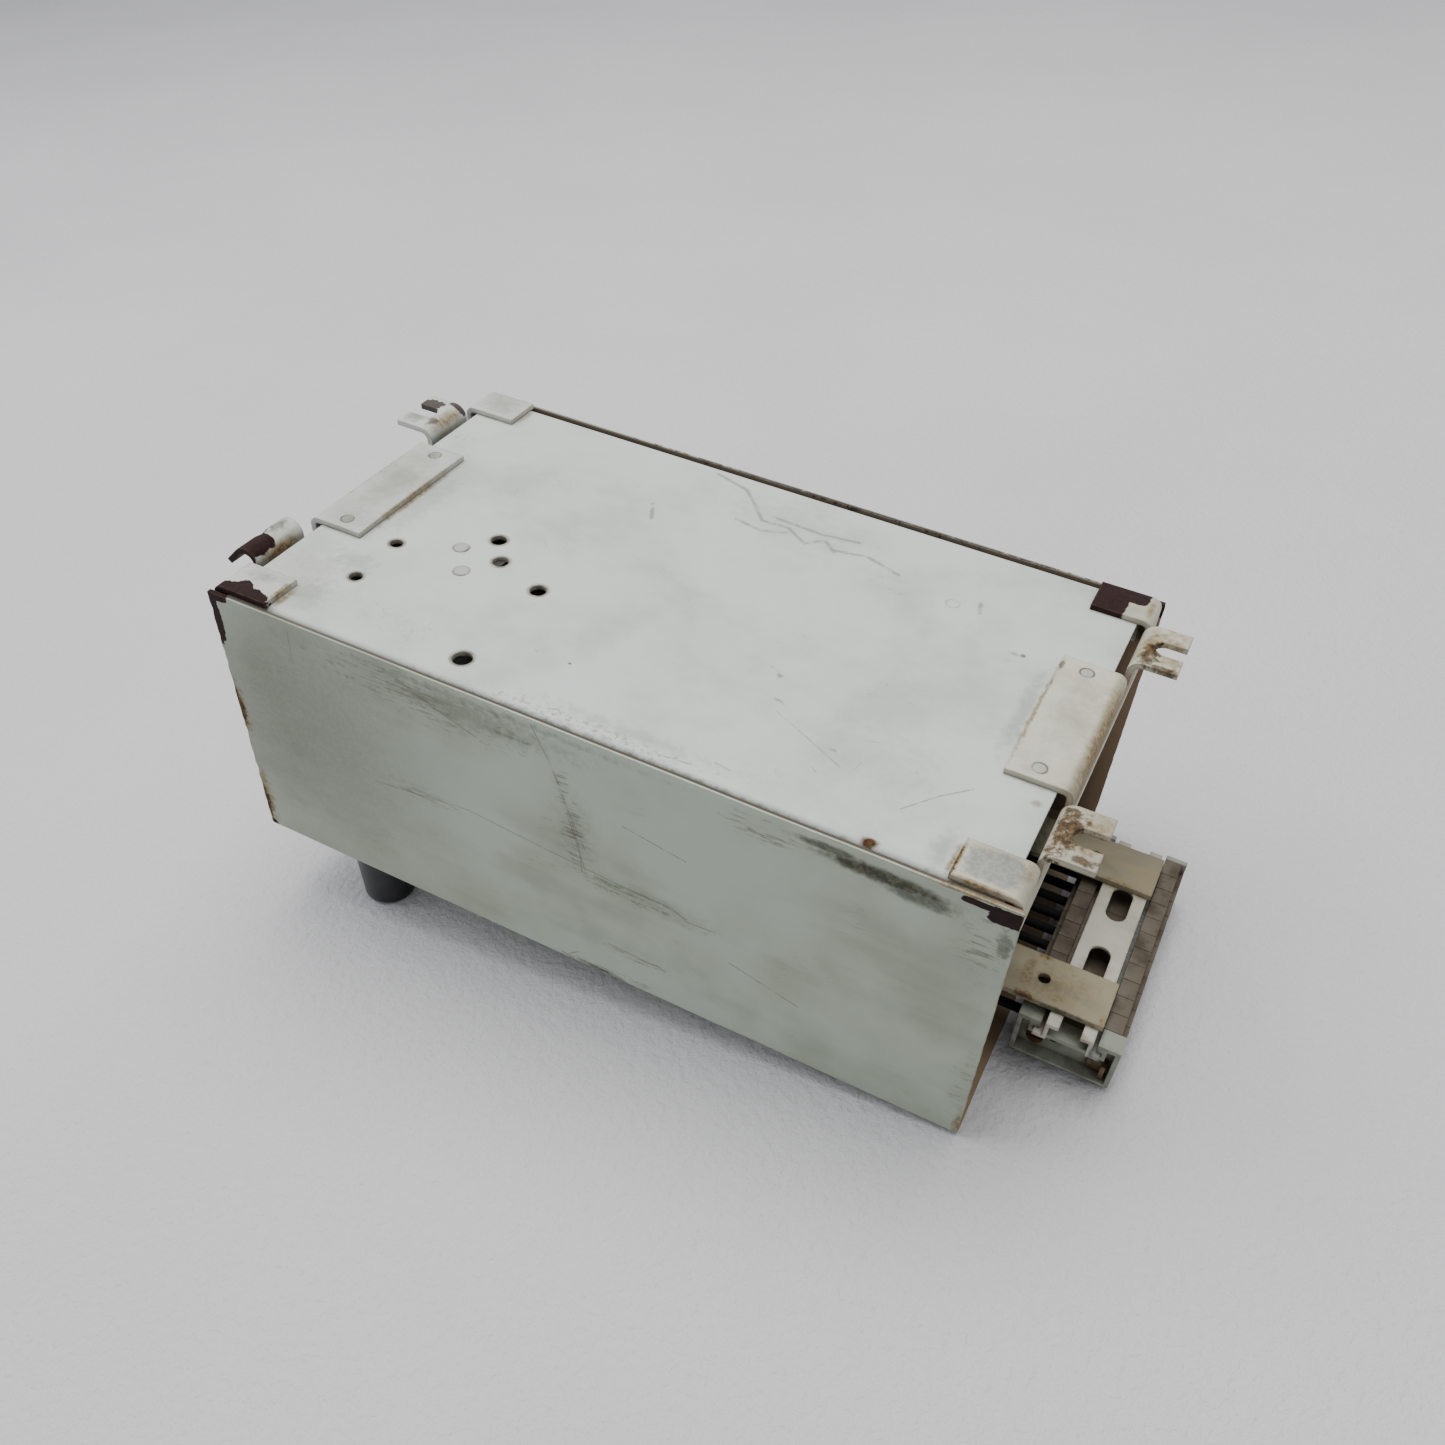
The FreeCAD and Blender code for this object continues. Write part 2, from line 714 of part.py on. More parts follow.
def transformer_stud_places():
    """Two studs through the strap's ears."""
    cx, cy = transformer_centre()
    reach = core_length / 2 + strap_sheet + strap_ear / 2
    return [(cx - reach, cy), (cx + reach, cy)]


def make_transformer_studs():
    """Studs clinched into the back plate for the transformer."""
    return [upright(x, y, plate_under - 6.0, plate_under, stud_radius)
            for x, y in transformer_stud_places()]


def make_stud_nuts():
    """Nuts of the board's studs and of the transformer's studs."""
    nuts = [hexagon(x, y, board_under - nut_height, board_under, nut_width, stud_radius)
            for x, y in board_stud_places()]
    ear = plate_under - strap_sheet
    nuts += [hexagon(x, y, ear - nut_height, ear, nut_width, stud_radius)
             for x, y in transformer_stud_places()]
    return nuts


def core_z():
    """Top and bottom of the transformer core."""
    top = plate_under - 0.3
    return top, top - core_height


def make_transformer_core():
    """Laminated E and I core with two windows."""
    cx, cy = transformer_centre()
    top, bottom = core_z()
    y0, y1 = cy - core_stack / 2, cy + core_stack / 2
    core = block(cx - core_length / 2, cx + core_length / 2, y0, y1, bottom, top)
    for side in (-1, 1):
        inner = cx + side * core_leg / 2
        window = block(inner, inner + side * window_width, y0 - 1, y1 + 1,
                       bottom + core_yoke, top - core_yoke)
        core = core.cut(window)
    return core


def ring(clear_leg, reach_x, reach_y, z0, z1, radius):
    """A rounded block with a rectangular hole for the core's middle leg."""
    cx, cy = transformer_centre()
    half_x = core_leg / 2 + reach_x
    half_y = core_stack / 2 + reach_y
    body = block(cx - half_x, cx + half_x, cy - half_y, cy + half_y, z0, z1)
    corners = [e for e in body.Edges if abs(e.tangentAt(0).z) > 0.9]
    body = body.makeFillet(radius, corners)
    hole = block(cx - core_leg / 2 - clear_leg, cx + core_leg / 2 + clear_leg,
                 cy - core_stack / 2 - clear_leg, cy + core_stack / 2 + clear_leg, z0 - 1, z1 + 1)
    return body.cut(hole)


def make_transformer_bobbin():
    """Moulded bobbin: a tube round the middle leg with two flanges."""
    top, bottom = core_z()
    z0 = bottom + core_yoke + winding_clearance
    z1 = top - core_yoke - winding_clearance
    reach = window_width - winding_clearance
    tube = ring(winding_clearance, bobbin_wall + winding_clearance, bobbin_wall + winding_clearance,
                z0, z1, 0.5)
    low = ring(winding_clearance, reach, winding_bulge + 1.0, z0, z0 + bobbin_wall, 1.0)
    high = ring(winding_clearance, reach, winding_bulge + 1.0, z1 - bobbin_wall, z1, 1.0)
    return tube.fuse(low).fuse(high).removeSplitter()


def make_transformer_winding():
    """Taped winding between the bobbin's flanges."""
    top, bottom = core_z()
    z0 = bottom + core_yoke + winding_clearance + bobbin_wall
    z1 = top - core_yoke - winding_clearance - bobbin_wall
    inner = bobbin_wall + winding_clearance
    return ring(inner, window_width - 2 * winding_clearance, winding_bulge, z0, z1, 3.0)


def make_transformer_strap():
    """U strap that pulls the core up to the back plate, with an ear at each end."""
    cx, cy = transformer_centre()
    bottom = core_z()[1]
    y0, y1 = cy - strap_width / 2, cy + strap_width / 2
    half_core = core_length / 2
    strap = block(cx - half_core - strap_sheet, cx + half_core + strap_sheet, y0, y1,
                  bottom - strap_sheet, bottom)
    for side in (-1, 1):
        inner = cx + side * half_core
        outer = inner + side * strap_sheet
        strap = strap.fuse(block(inner, outer, y0, y1, bottom - strap_sheet, plate_under))
        strap = strap.fuse(block(inner, outer + side * strap_ear, y0, y1,
                                 plate_under - strap_sheet, plate_under))
    for x, y in transformer_stud_places():
        strap = strap.cut(upright(x, y, plate_under - 3, plate_under + 1, stud_radius + 0.1))
    return strap.removeSplitter()


def on_board(x, y, length, width, height, radius):
    """A moulded component that hangs from the board's underside."""
    body = block(x, x + length, y, y + width, board_under - height, board_under)
    return round_edges(body, radius, lambda p: p.z < board_under - height + 0.01)


def make_relay(index):
    """Sealed power relay."""
    x = board_left + 44.5
    y = -board_half + 14.0 + index * 24.0
    return on_board(x, y, 28.0, 12.5, 15.5, 0.7)


def can(x, y, radius, height):
    """Electrolytic can with a rolled shoulder."""
    body = upright(x, y, board_under - height, board_under, radius)
    low_edge = [e for e in body.Edges if e.BoundBox.ZMax < board_under - height + 0.01]
    body = body.makeFillet(radius * 0.12, low_edge)
    groove = Part.makeTorus(radius + 0.25, 0.7, Vector(x, y, board_under - 2.6), Z_AXIS)
    return body.cut(groove)


def make_main_capacitor():
    """Smoothing capacitor."""
    return can(board_left + 18.0, board_half - 28.0, 9.0, 30.0)


def make_small_capacitors():
    """Two decoupling capacitors."""
    return [can(board_left + 36.0, board_half - inset, 4.0, 12.0) for inset in (20.0, 32.0)]


def fuse_corner():
    """Near left corner of the fuse holder."""
    return board_left + 10.0, board_half - 12.0


def make_fuse_holder():
    """Moulded base with two spring-clip posts."""
    x, y = fuse_corner()
    base = on_board(x, y, 26.0, 8.0, 2.5, 0.4)
    for start in (x + 1.0, x + 20.0):
        post = block(start, start + 5.0, y + 0.6, y + 7.4, board_under - 8.0, board_under - 2.0)
        gap = block(start - 1, start + 6.0, y + 2.4, y + 5.6, board_under - 9.0, board_under - 4.6)
        seat = Part.makeCylinder(2.6, 7.0, Vector(start - 1, y + 4.0, board_under - 5.6), X_AXIS)
        base = base.fuse(post.cut(gap).cut(seat))
    return base.removeSplitter()


def make_fuse():
    """Glass cartridge fuse with two end caps."""
    x, y = fuse_corner()
    x += 2.0
    y += 4.0
    z = board_under - 5.6
    body = Part.makeCylinder(2.3, 22.0, Vector(x, y, z), X_AXIS)
    for start in (x, x + 17.0):
        body = body.fuse(Part.makeCylinder(2.55, 5.0, Vector(start, y, z), X_AXIS))
    return body.removeSplitter()


def make_controller_chip():
    """Microcontroller in a wide package."""
    left = board_left + 6.0
    near = -board_half + 36.0
    body = on_board(left, near, 36.0, 13.0, 4.2, 0.5)
    for index in range(14):
        x = left + 1.2 + index * 2.54
        for y in (near - 1.0, near + 13.0):
            body = body.fuse(block(x, x + 0.8, y, y + 1.0, board_under - 2.6, board_under))
    return body.removeSplitter()


def make_receiver_module():
    """Small upright radio board with a screening can."""
    x = board_left + 6.0
    y = -board_half + 23.0
    board = block(x, x + 32.0, y, y + 1.4, board_under - 14.0, board_under)
    shield = block(x + 4.0, x + 22.0, y + 1.4, y + 4.6, board_under - 11.0, board_under - 2.0)
    return board.fuse(shield)


def make_aerial_coil():
    """Helical aerial on the receiver module: a stack of turns as one smooth sleeve."""
    x = board_left + 34.5
    y = -board_half + 19.4
    tube = upright(x, y, board_under - 20.0, board_under - 2.0, 2.2)
    post = upright(x, y, board_under - 20.5, board_under, 0.8)
    return tube.fuse(post).removeSplitter()


def heat_sink_corner():
    """Near left corner of the heat sink."""
    return board_left + 10.0, -board_half + 4.0


def make_heat_sink():
    """Finned aluminium heat sink."""
    x, y = heat_sink_corner()
    sink = block(x, x + 24.0, y, y + 2.0, board_under - 20.0, board_under)
    for index in range(5):
        fin = x + index * 5.5
        sink = sink.fuse(block(fin, fin + 2.0, y + 2.0, y + 9.0, board_under - 20.0, board_under))
    return sink.removeSplitter()


def make_regulator():
    """Voltage regulator on the heat sink's flat side."""
    x, y = heat_sink_corner()
    x += 7.0
    tab = block(x, x + 10.0, y - 1.2, y, board_under - 18.0, board_under - 3.5)
    body = block(x, x + 10.0, y - 3.2, y, board_under - 12.0, board_under - 3.5)
    part = tab.fuse(body)
    for step in (1.8, 4.5, 7.2):
        part = part.fuse(block(x + step, x + step + 1.0, y - 2.2, y - 1.4, board_under - 4.0, board_under))
    return part.removeSplitter()


def button_centre():
    """Middle of the learn button."""
    return board_left + 40.0, -board_half + 8.0


def make_learn_button_case():
    """Case of the learn button, with a bore for its cap."""
    x, y = button_centre()
    case = block(x - 3, x + 3, y - 3, y + 3, board_under - 3.6, board_under)
    return case.cut(upright(x, y, board_under - 4.0, board_under - 1.2, 1.75 + shaft_clearance))


def make_learn_button_cap():
    """Round cap that is pressed towards the board."""
    x, y = button_centre()
    cap = upright(x, y, board_under - 6.6, board_under - 1.8, 1.75)
    low_edge = [e for e in cap.Edges if e.BoundBox.ZMax < board_under - 6.5]
    return cap.makeFillet(0.4, low_edge)


def make_wire_header():
    """Board header that the loom plugs into."""
    y0 = terminal_y(0)[0]
    y1 = terminal_y(terminal_count - 1)[1]
    return on_board(header_right - header_width, y0, header_width, y1 - y0, header_height, 0.5)


def make_transformer_leads():
    """Two leads from the bobbin to the board."""
    leads = []
    cx, cy = transformer_centre()
    top, bottom = core_z()
    lead = transformer_lead_radius
    bend = transformer_lead_bend
    start_x = cx + core_leg / 2 + window_width - 1.0
    for index, y in enumerate((cy - core_stack / 2 - 4.0, cy - core_stack / 2 - 7.0)):
        z = bottom + core_yoke + winding_clearance - lead
        slant = bend * (1 - math.sqrt(0.5))
        turn_x = board_left + 5.0 + 3.0 * index
        start = Vector(start_x - 4.0 - 3.0 * index, y, z)
        path = Part.Wire([
            Part.makeLine(start, Vector(turn_x - bend, y, z)),
            Part.Arc(Vector(turn_x - bend, y, z), Vector(turn_x - slant, y, z + slant),
                     Vector(turn_x, y, z + bend)).toShape(),
            Part.makeLine(Vector(turn_x, y, z + bend), Vector(turn_x, y, board_under)),
        ])
        section = Part.Wire(Part.makeCircle(lead, start, X_AXIS))
        leads.append(path.makePipeShell([section], True, False))
    return leads


def knob_places():
    """Near and far knob on the front's left part."""
    x, y = from_corner(knob_inset_x, cover_sheet + pot_side_gap + pot_radius)
    return [(x, y), (x, -y)]


def make_pot(place):
    """Potentiometer can inside the cover, its bush through the front."""
    x, y = place
    body = upright(x, y, cover_inner_z, cover_inner_z + pot_height, pot_radius)
    top_edge = [e for e in body.Edges if e.BoundBox.ZMin > cover_inner_z + pot_height - 0.01]
    body = body.makeFillet(1.0, top_edge)
    bush = upright(x, y, cover_inner_z - pot_bush_length, cover_inner_z, pot_bush_radius)
    tags = block(x + pot_radius - 1.0, x + pot_radius + 4.0, y - 4.0, y + 4.0,
                 cover_inner_z + 3.0, cover_inner_z + 3.8)
    bore = upright(x, y, cover_inner_z - pot_bush_length - 1, cover_inner_z + 6.0,
                   shaft_radius + shaft_clearance)
    return body.fuse(bush).fuse(tags).cut(bore).removeSplitter()


def make_pot_nuts():
    """Hexagon nuts that clamp the potentiometers to the cover."""
    return [hexagon(x, y, front_z - pot_nut_height, front_z, pot_nut_width, pot_bush_radius)
            for x, y in knob_places()]


def make_shaft(place):
    """Potentiometer shaft: turns with the knob."""
    x, y = place
    return upright(x, y, shaft_bottom, cover_inner_z + 5.5, shaft_radius)


def make_knob(place):
    """Tapered control knob, hollow round the nut and bush."""
    x, y = place
    top = front_z - knob_gap
    body = Part.makeCone(knob_end_radius, knob_base_radius, knob_length,
                         Vector(x, y, top - knob_length), Z_AXIS)
    low_edge = [e for e in body.Edges if e.BoundBox.ZMax < top - knob_length + 0.01]
    body = body.makeFillet(knob_edge, low_edge)
    nut_corner = pot_nut_width / math.sqrt(3)
    hollow = upright(x, y, cover_inner_z - pot_bush_length - nut_gap, top + 1, nut_corner + nut_gap)
    bore = upright(x, y, shaft_bottom, top + 1, shaft_radius)
    screw = Part.makeCylinder(knob_screw_radius, knob_base_radius + 1,
                              Vector(x, y, knob_screw_z()), X_AXIS)
    return body.cut(hollow).cut(bore).cut(screw)


def knob_screw_z():
    """Height of the knob's grub screw."""
    return front_z - knob_gap - knob_length + 6.0


def make_knob_screw(place):
    """Grub screw that holds the knob on the shaft."""
    x, y = place
    z = knob_screw_z()
    length = knob_end_radius - shaft_radius - 0.8
    return Part.makeCylinder(knob_screw_radius, length, Vector(x + shaft_radius, y, z), X_AXIS)


def build():
    """All nodes by name."""
    near, far = knob_places()
    nodes = {
        "cover": make_cover(),
        "cover_screws": make_cover_screws(),
        "near_potentiometer": make_pot(near),
        "far_potentiometer": make_pot(far),
        "potentiometer_nuts": make_pot_nuts(),
        "near_knob": make_knob(near),
        "near_knob_shaft": make_shaft(near),
        "near_knob_screw": make_knob_screw(near),
        "far_knob": make_knob(far),
        "far_knob_shaft": make_shaft(far),
        "far_knob_screw": make_knob_screw(far),
        "back_plate": make_back_plate(),
        "left_end_panel": make_left_end_panel(),
        "right_end_panel": make_right_end_panel(),
        "flange_rivets": make_flange_rivets(),
        "plate_rivets": make_plate_rivets(),
        "rectifier": make_rectifier(),
        "bulkhead": make_bulkhead(),
        "terminal_rail": make_terminal_rail(),
        "terminal_screws": make_terminal_screws(),
        "end_clamp": make_end_clamp(),
        "end_clamp_screw": make_end_clamp_screw(),
        "end_clamp_clip": make_end_clip(),
        "terminal_end_plate": make_end_plate(),
        "loom_wires": make_loom_wires(),
        "circuit_board": make_circuit_board(),
        "board_studs": make_board_studs(),
        "transformer_studs": make_transformer_studs(),
        "stud_nuts": make_stud_nuts(),
        "transformer_core": make_transformer_core(),
        "transformer_bobbin": make_transformer_bobbin(),
        "transformer_winding": make_transformer_winding(),
        "transformer_strap": make_transformer_strap(),
        "transformer_leads": make_transformer_leads(),
        "opening_relay": make_relay(0),
        "closing_relay": make_relay(1),
        "lamp_relay": make_relay(2),
        "main_capacitor": make_main_capacitor(),
        "small_capacitors": make_small_capacitors(),
        "fuse_holder": make_fuse_holder(),
        "fuse": make_fuse(),
        "controller_chip": make_controller_chip(),
        "receiver_module": make_receiver_module(),
        "aerial_coil": make_aerial_coil(),
        "heat_sink": make_heat_sink(),
        "regulator": make_regulator(),
        "learn_button_case": make_learn_button_case(),
        "learn_button_cap": make_learn_button_cap(),
        "wire_header": make_wire_header(),
    }
    for index in range(terminal_count):
        nodes[f"terminal_block_{index + 1:02d}"] = make_terminal_block(index)
    return nodes


def write(nodes):
    """One STEP file per node."""
    os.makedirs("parts", exist_ok=True)
    for name, shape in nodes.items():
        if isinstance(shape, list):
            shape = Part.makeCompound(shape)
        shape.exportStep(os.path.join("parts", f"{name}.step"))
        box = shape.BoundBox
        print(f"{name}: {len(shape.Solids)} solid, {shape.Volume:.0f} mm3, valid {shape.isValid()}, "
              f"x {box.XMin:.1f}..{box.XMax:.1f} y {box.YMin:.1f}..{box.YMax:.1f} "
              f"z {box.ZMin:.1f}..{box.ZMax:.1f}")


write(build())
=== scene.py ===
"""Control box of a garage door opener: worn sheet metal, finishes and a plain studio."""

from __future__ import annotations

import json
import logging
import math
from collections.abc import Callable, Iterable
from dataclasses import dataclass, field, replace
from enum import Enum
from typing import Any

import bmesh
import bpy
from mathutils import Euler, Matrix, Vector, noise

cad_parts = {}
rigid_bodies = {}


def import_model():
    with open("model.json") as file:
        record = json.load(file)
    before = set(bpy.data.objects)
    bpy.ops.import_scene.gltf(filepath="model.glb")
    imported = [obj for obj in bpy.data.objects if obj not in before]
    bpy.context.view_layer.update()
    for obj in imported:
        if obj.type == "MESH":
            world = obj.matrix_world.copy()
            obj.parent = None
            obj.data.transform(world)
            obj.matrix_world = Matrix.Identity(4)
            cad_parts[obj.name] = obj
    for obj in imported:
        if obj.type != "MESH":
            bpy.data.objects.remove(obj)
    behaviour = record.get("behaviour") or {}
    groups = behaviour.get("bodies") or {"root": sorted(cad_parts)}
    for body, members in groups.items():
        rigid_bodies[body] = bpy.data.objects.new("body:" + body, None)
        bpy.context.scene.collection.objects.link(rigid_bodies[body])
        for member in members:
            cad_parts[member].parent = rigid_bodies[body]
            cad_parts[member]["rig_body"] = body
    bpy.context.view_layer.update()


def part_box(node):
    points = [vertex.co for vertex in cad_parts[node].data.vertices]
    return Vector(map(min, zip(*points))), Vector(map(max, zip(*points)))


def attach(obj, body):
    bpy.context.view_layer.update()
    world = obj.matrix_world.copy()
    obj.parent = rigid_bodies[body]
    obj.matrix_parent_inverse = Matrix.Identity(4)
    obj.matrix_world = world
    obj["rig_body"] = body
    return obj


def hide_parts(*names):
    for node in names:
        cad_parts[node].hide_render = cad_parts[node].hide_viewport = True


LOG = logging.getLogger("control_box")
MM = 0.001
Point = tuple[float, float, float]
Colour = tuple[float, float, float]


def linear(red: float, green: float, blue: float) -> tuple[float, float, float, float]:
    """Turns a 0 to 255 display colour into a linear one.

    Args:
        red: Red as shown on a screen.
        green: Green as shown on a screen.
        blue: Blue as shown on a screen.

    Returns:
        Linear red, green, blue and an alpha of 1.
    """
    shown = [value / 255 for value in (red, green, blue)]
    light = [v / 12.92 if v <= 0.04045 else ((v + 0.055) / 1.055) ** 2.4 for v in shown]
    return light[0], light[1], light[2], 1.0


def metres(point: Point) -> Point:
    """Turns millimetres into metres."""
    return point[0] * MM, point[1] * MM, point[2] * MM


class Socket(Enum):
    """Kinds of socket that the shared effects use."""

    NUMBER = "NodeSocketFloat"
    VECTOR = "NodeSocketVector"


class Graph:
    """Lays out shader nodes in one tree."""

    def __init__(self, tree: bpy.types.NodeTree) -> None:
        """Keeps the tree that the nodes go in."""
        self.tree = tree

    def add(self, kind: str, **settings: Any) -> bpy.types.Node:
        """Adds a node.

        Args:
            kind: Node type without its ShaderNode prefix.
            **settings: Properties of the node.

        Returns:
            The new node.
        """
        node = self.tree.nodes.new("ShaderNode" + kind)
        for key, value in settings.items():
            setattr(node, key, value)
        return node

    def put(self, socket: bpy.types.NodeSocket, value: Any) -> None:
        """Links a socket to an input, or sets the input's own value.

        Args:
            socket: The input.
            value: Another node's socket, or the value.
        """
        if isinstance(value, bpy.types.NodeSocket):
            self.tree.links.new(value, socket)
        else:
            socket.default_value = value

    def math(self, operation: str, first: Any, second: Any = 0.0, clamp: bool = False) -> Any:
        """Puts one Math node.

        Args:
            operation: What it does.
            first: First number or socket.
            second: Second number or socket.
            clamp: Whether the result stays between 0 and 1.

        Returns:
            The result's socket.
        """
        node = self.add("Math", operation=operation, use_clamp=clamp)
        self.put(node.inputs[0], first)
        self.put(node.inputs[1], second)
        return node.outputs[0]

    def plus(self, first: Any, second: Any) -> Any:
        """Adds two numbers."""
        return self.math("ADD", first, second)

    def minus(self, first: Any, second: Any) -> Any:
        """Takes the second number from the first."""
        return self.math("SUBTRACT", first, second)

    def times(self, first: Any, second: Any) -> Any:
        """Multiplies two numbers."""
        return self.math("MULTIPLY", first, second)

    def vector(self, operation: str, first: Any, second: Any = (0.0, 0.0, 0.0)) -> Any:
        """Puts one Vector Math node.

        Args:
            operation: What it does.
            first: First vector or socket.
            second: Second vector or socket.

        Returns:
            The number for a length or dot product, otherwise the vector.
        """
        node = self.add("VectorMath", operation=operation)
        self.put(node.inputs[0], first)
        self.put(node.inputs[1], second)
        return node.outputs["Value" if operation in {"LENGTH", "DOT_PRODUCT"} else "Vector"]

    def scaled(self, vector: Any, factor: Any) -> Any:
        """Scales a vector by one number.

        Args:
            vector: The vector.
            factor: The number.

        Returns:
            The vector's socket.
        """
        node = self.add("VectorMath", operation="SCALE")
        self.put(node.inputs[0], vector)
        self.put(node.inputs["Scale"], factor)
        return node.outputs["Vector"]

    def axes(self, vector: Any) -> Any:
        """Splits a vector.

        Args:
            vector: The vector.

        Returns:
            The sockets of its X, Y and Z.
        """
        node = self.add("SeparateXYZ")
        self.put(node.inputs[0], vector)
        return node.outputs

    def step(self, value: Any, low: Any, high: Any) -> Any:
        """A smooth step between two values, falling if low is above high.

        Args:
            value: What is measured.
            low: Value that gives 0.
            high: Value that gives 1.

        Returns:
            The step's socket.
        """
        node = self.add("MapRange", interpolation_type="SMOOTHSTEP")
        self.put(node.inputs["Value"], value)
        self.put(node.inputs["From Min"], low)
        self.put(node.inputs["From Max"], high)
        return node.outputs["Result"]

    def span(self, value: Any, low: float, high: float) -> Any:
        """Spreads a 0 to 1 value over a range.

        Args:
            value: The value.
            low: What 0 becomes.
            high: What 1 becomes.

        Returns:
            The result's socket.
        """
        node = self.add("MapRange")
        self.put(node.inputs["Value"], value)
        node.inputs["To Min"].default_value = low
        node.inputs["To Max"].default_value = high
        return node.outputs["Result"]

    def mix(self, amount: Any, first: Any, second: Any, blend: str = "MIX") -> Any:
        """Mixes two colours.

        Args:
            amount: How much of the second.
            first: First colour or socket.
            second: Second colour or socket.
            blend: Way of mixing.

        Returns:
            The mixed colour's socket.
        """
        node = self.add("Mix", data_type="RGBA", blend_type=blend)
        self.put(node.inputs[0], amount)
        self.put(node.inputs[6], first)
        self.put(node.inputs[7], second)
        return node.outputs[2]

    def noise(self, place: Any, scale: Any, detail: float = 3.0, rough: float = 0.55) -> Any:
        """A fractal noise value.

        Args:
            place: Where it is read.
            scale: Features to the metre.
            detail: Number of octaves.
            rough: Strength of the finer octaves.

        Returns:
            The value's socket.
        """
        node = self.add("TexNoise")
        self.put(node.inputs["Vector"], place)
        self.put(node.inputs["Scale"], scale)
        node.inputs["Detail"].default_value = detail
        node.inputs["Roughness"].default_value = rough
        return node.outputs[0]

    def place(self) -> Any:
        """Where the surface is in the object's own frame, in metres."""
        return self.add("TexCoord").outputs["Object"]

    def after(self, place: Any, mask: Any) -> Any:
        """Makes a place wait for a mask, so that a long list of marks is worked out in turn.

        Args:
            place: Where the surface is.
            mask: The mask that comes first. It moves the place by a billionth of a metre.

        Returns:
            The place's socket.
        """
        return self.vector("ADD", place, self.times(mask, 1e-9))


class Effect:
    """A surface effect that is built once as a node group and shared."""

    name = "effect"
    vectors: tuple[str, ...] = ()
    numbers: tuple[str, ...] = ()
    gives = "Mask"

    def wire(self, graph: Graph, given: Any) -> Any:
        """Lays out the inside of the group.

        Args:
            graph: Graph of the group.
            given: Sockets of the group's inputs.

        Returns:
            The socket that the group gives.
        """
        raise NotImplementedError

    def tree(self) -> bpy.types.NodeTree:
        """Finds the group, or builds it the first time.

        Returns:
            The node group.
        """
        made = bpy.data.node_groups.get(self.name)
        if made is None:
            made = bpy.data.node_groups.new(self.name, "ShaderNodeTree")
            for labels, kind in ((self.vectors, Socket.VECTOR), (self.numbers, Socket.NUMBER)):
                for label in labels:
                    made.interface.new_socket(name=label, in_out="INPUT", socket_type=kind.value)
            made.interface.new_socket(name=self.gives, in_out="OUTPUT", socket_type=Socket.NUMBER.value)
            source = made.nodes.new("NodeGroupInput")
            sink = made.nodes.new("NodeGroupOutput")
            made.links.new(self.wire(Graph(made), source.outputs), sink.inputs[self.gives])
        return made

    def use(self, graph: Graph, **values: Any) -> Any:
        """Places the group in a material.

        Args:
            graph: Graph of the material.
            **values: Its inputs by name.

        Returns:
            The socket that the group gives.
        """
        node = graph.add("Group")
        node.node_tree = self.tree()
        for label, value in values.items():
            graph.put(node.inputs[label], value)
        return node.outputs[self.gives]


class WornPatch(Effect):
    """A patch with a broken edge: a chip, a stain or a smudge."""

    name = "worn_patch"
    vectors = ("Place", "Centre", "Reach")
    numbers = ("Breakup", "Ragged", "Square", "Fade", "Strength", "Before")

    def wire(self, graph: Graph, given: Any) -> Any:
        """Measures the distance from the centre in reaches, and breaks its edge up.

        Args:
            graph: Graph of the group.
            given: Sockets of the group's inputs.

        Returns:
            The mask.
        """
        away = graph.vector("SUBTRACT", graph.after(given["Place"], given["Before"]), given["Centre"])
        ratio = graph.vector("ABSOLUTE", graph.vector("DIVIDE", away, given["Reach"]))
        total: Any = 0.0
        for part in graph.axes(ratio):
            total = graph.plus(graph.math("POWER", part, given["Square"]), total)
        distance = graph.math("POWER", total, graph.math("DIVIDE", 1.0, given["Square"]))
        broken = graph.times(graph.minus(given["Breakup"], 0.5), given["Ragged"])
        inner = graph.minus(1.0, given["Fade"])
        mask = graph.times(graph.step(graph.plus(distance, broken), 1.0, inner), given["Strength"])
        return graph.math("MAXIMUM", mask, given["Before"])


class ScratchLine(Effect):
    """A straight scratch between two points."""

    name = "scratch_line"
    vectors = ("Place", "Start", "Finish")
    numbers = ("Width", "Breakup", "Strength", "Before")

    def wire(self, graph: Graph, given: Any) -> Any:
        """Measures the distance to the line and lets it fade in places.

        Args:
            graph: Graph of the group.
            given: Sockets of the group's inputs.

        Returns:
            The mask.
        """
        reach = graph.vector("SUBTRACT", graph.after(given["Place"], given["Before"]), given["Start"])
        run = graph.vector("SUBTRACT", given["Finish"], given["Start"])
        along = graph.math("DIVIDE", graph.vector("DOT_PRODUCT", reach, run),
                           graph.vector("DOT_PRODUCT", run, run), clamp=True)
        off = graph.vector("LENGTH", graph.vector("SUBTRACT", reach, graph.scaled(run, along)))
        width = graph.times(given["Width"], graph.plus(given["Breakup"], 0.35))
        line = graph.step(off, width, graph.times(width, 0.3))
        faded = graph.times(line, graph.step(given["Breakup"], 0.3, 0.55))
        return graph.math("MAXIMUM", graph.times(faded, given["Strength"]), given["Before"])


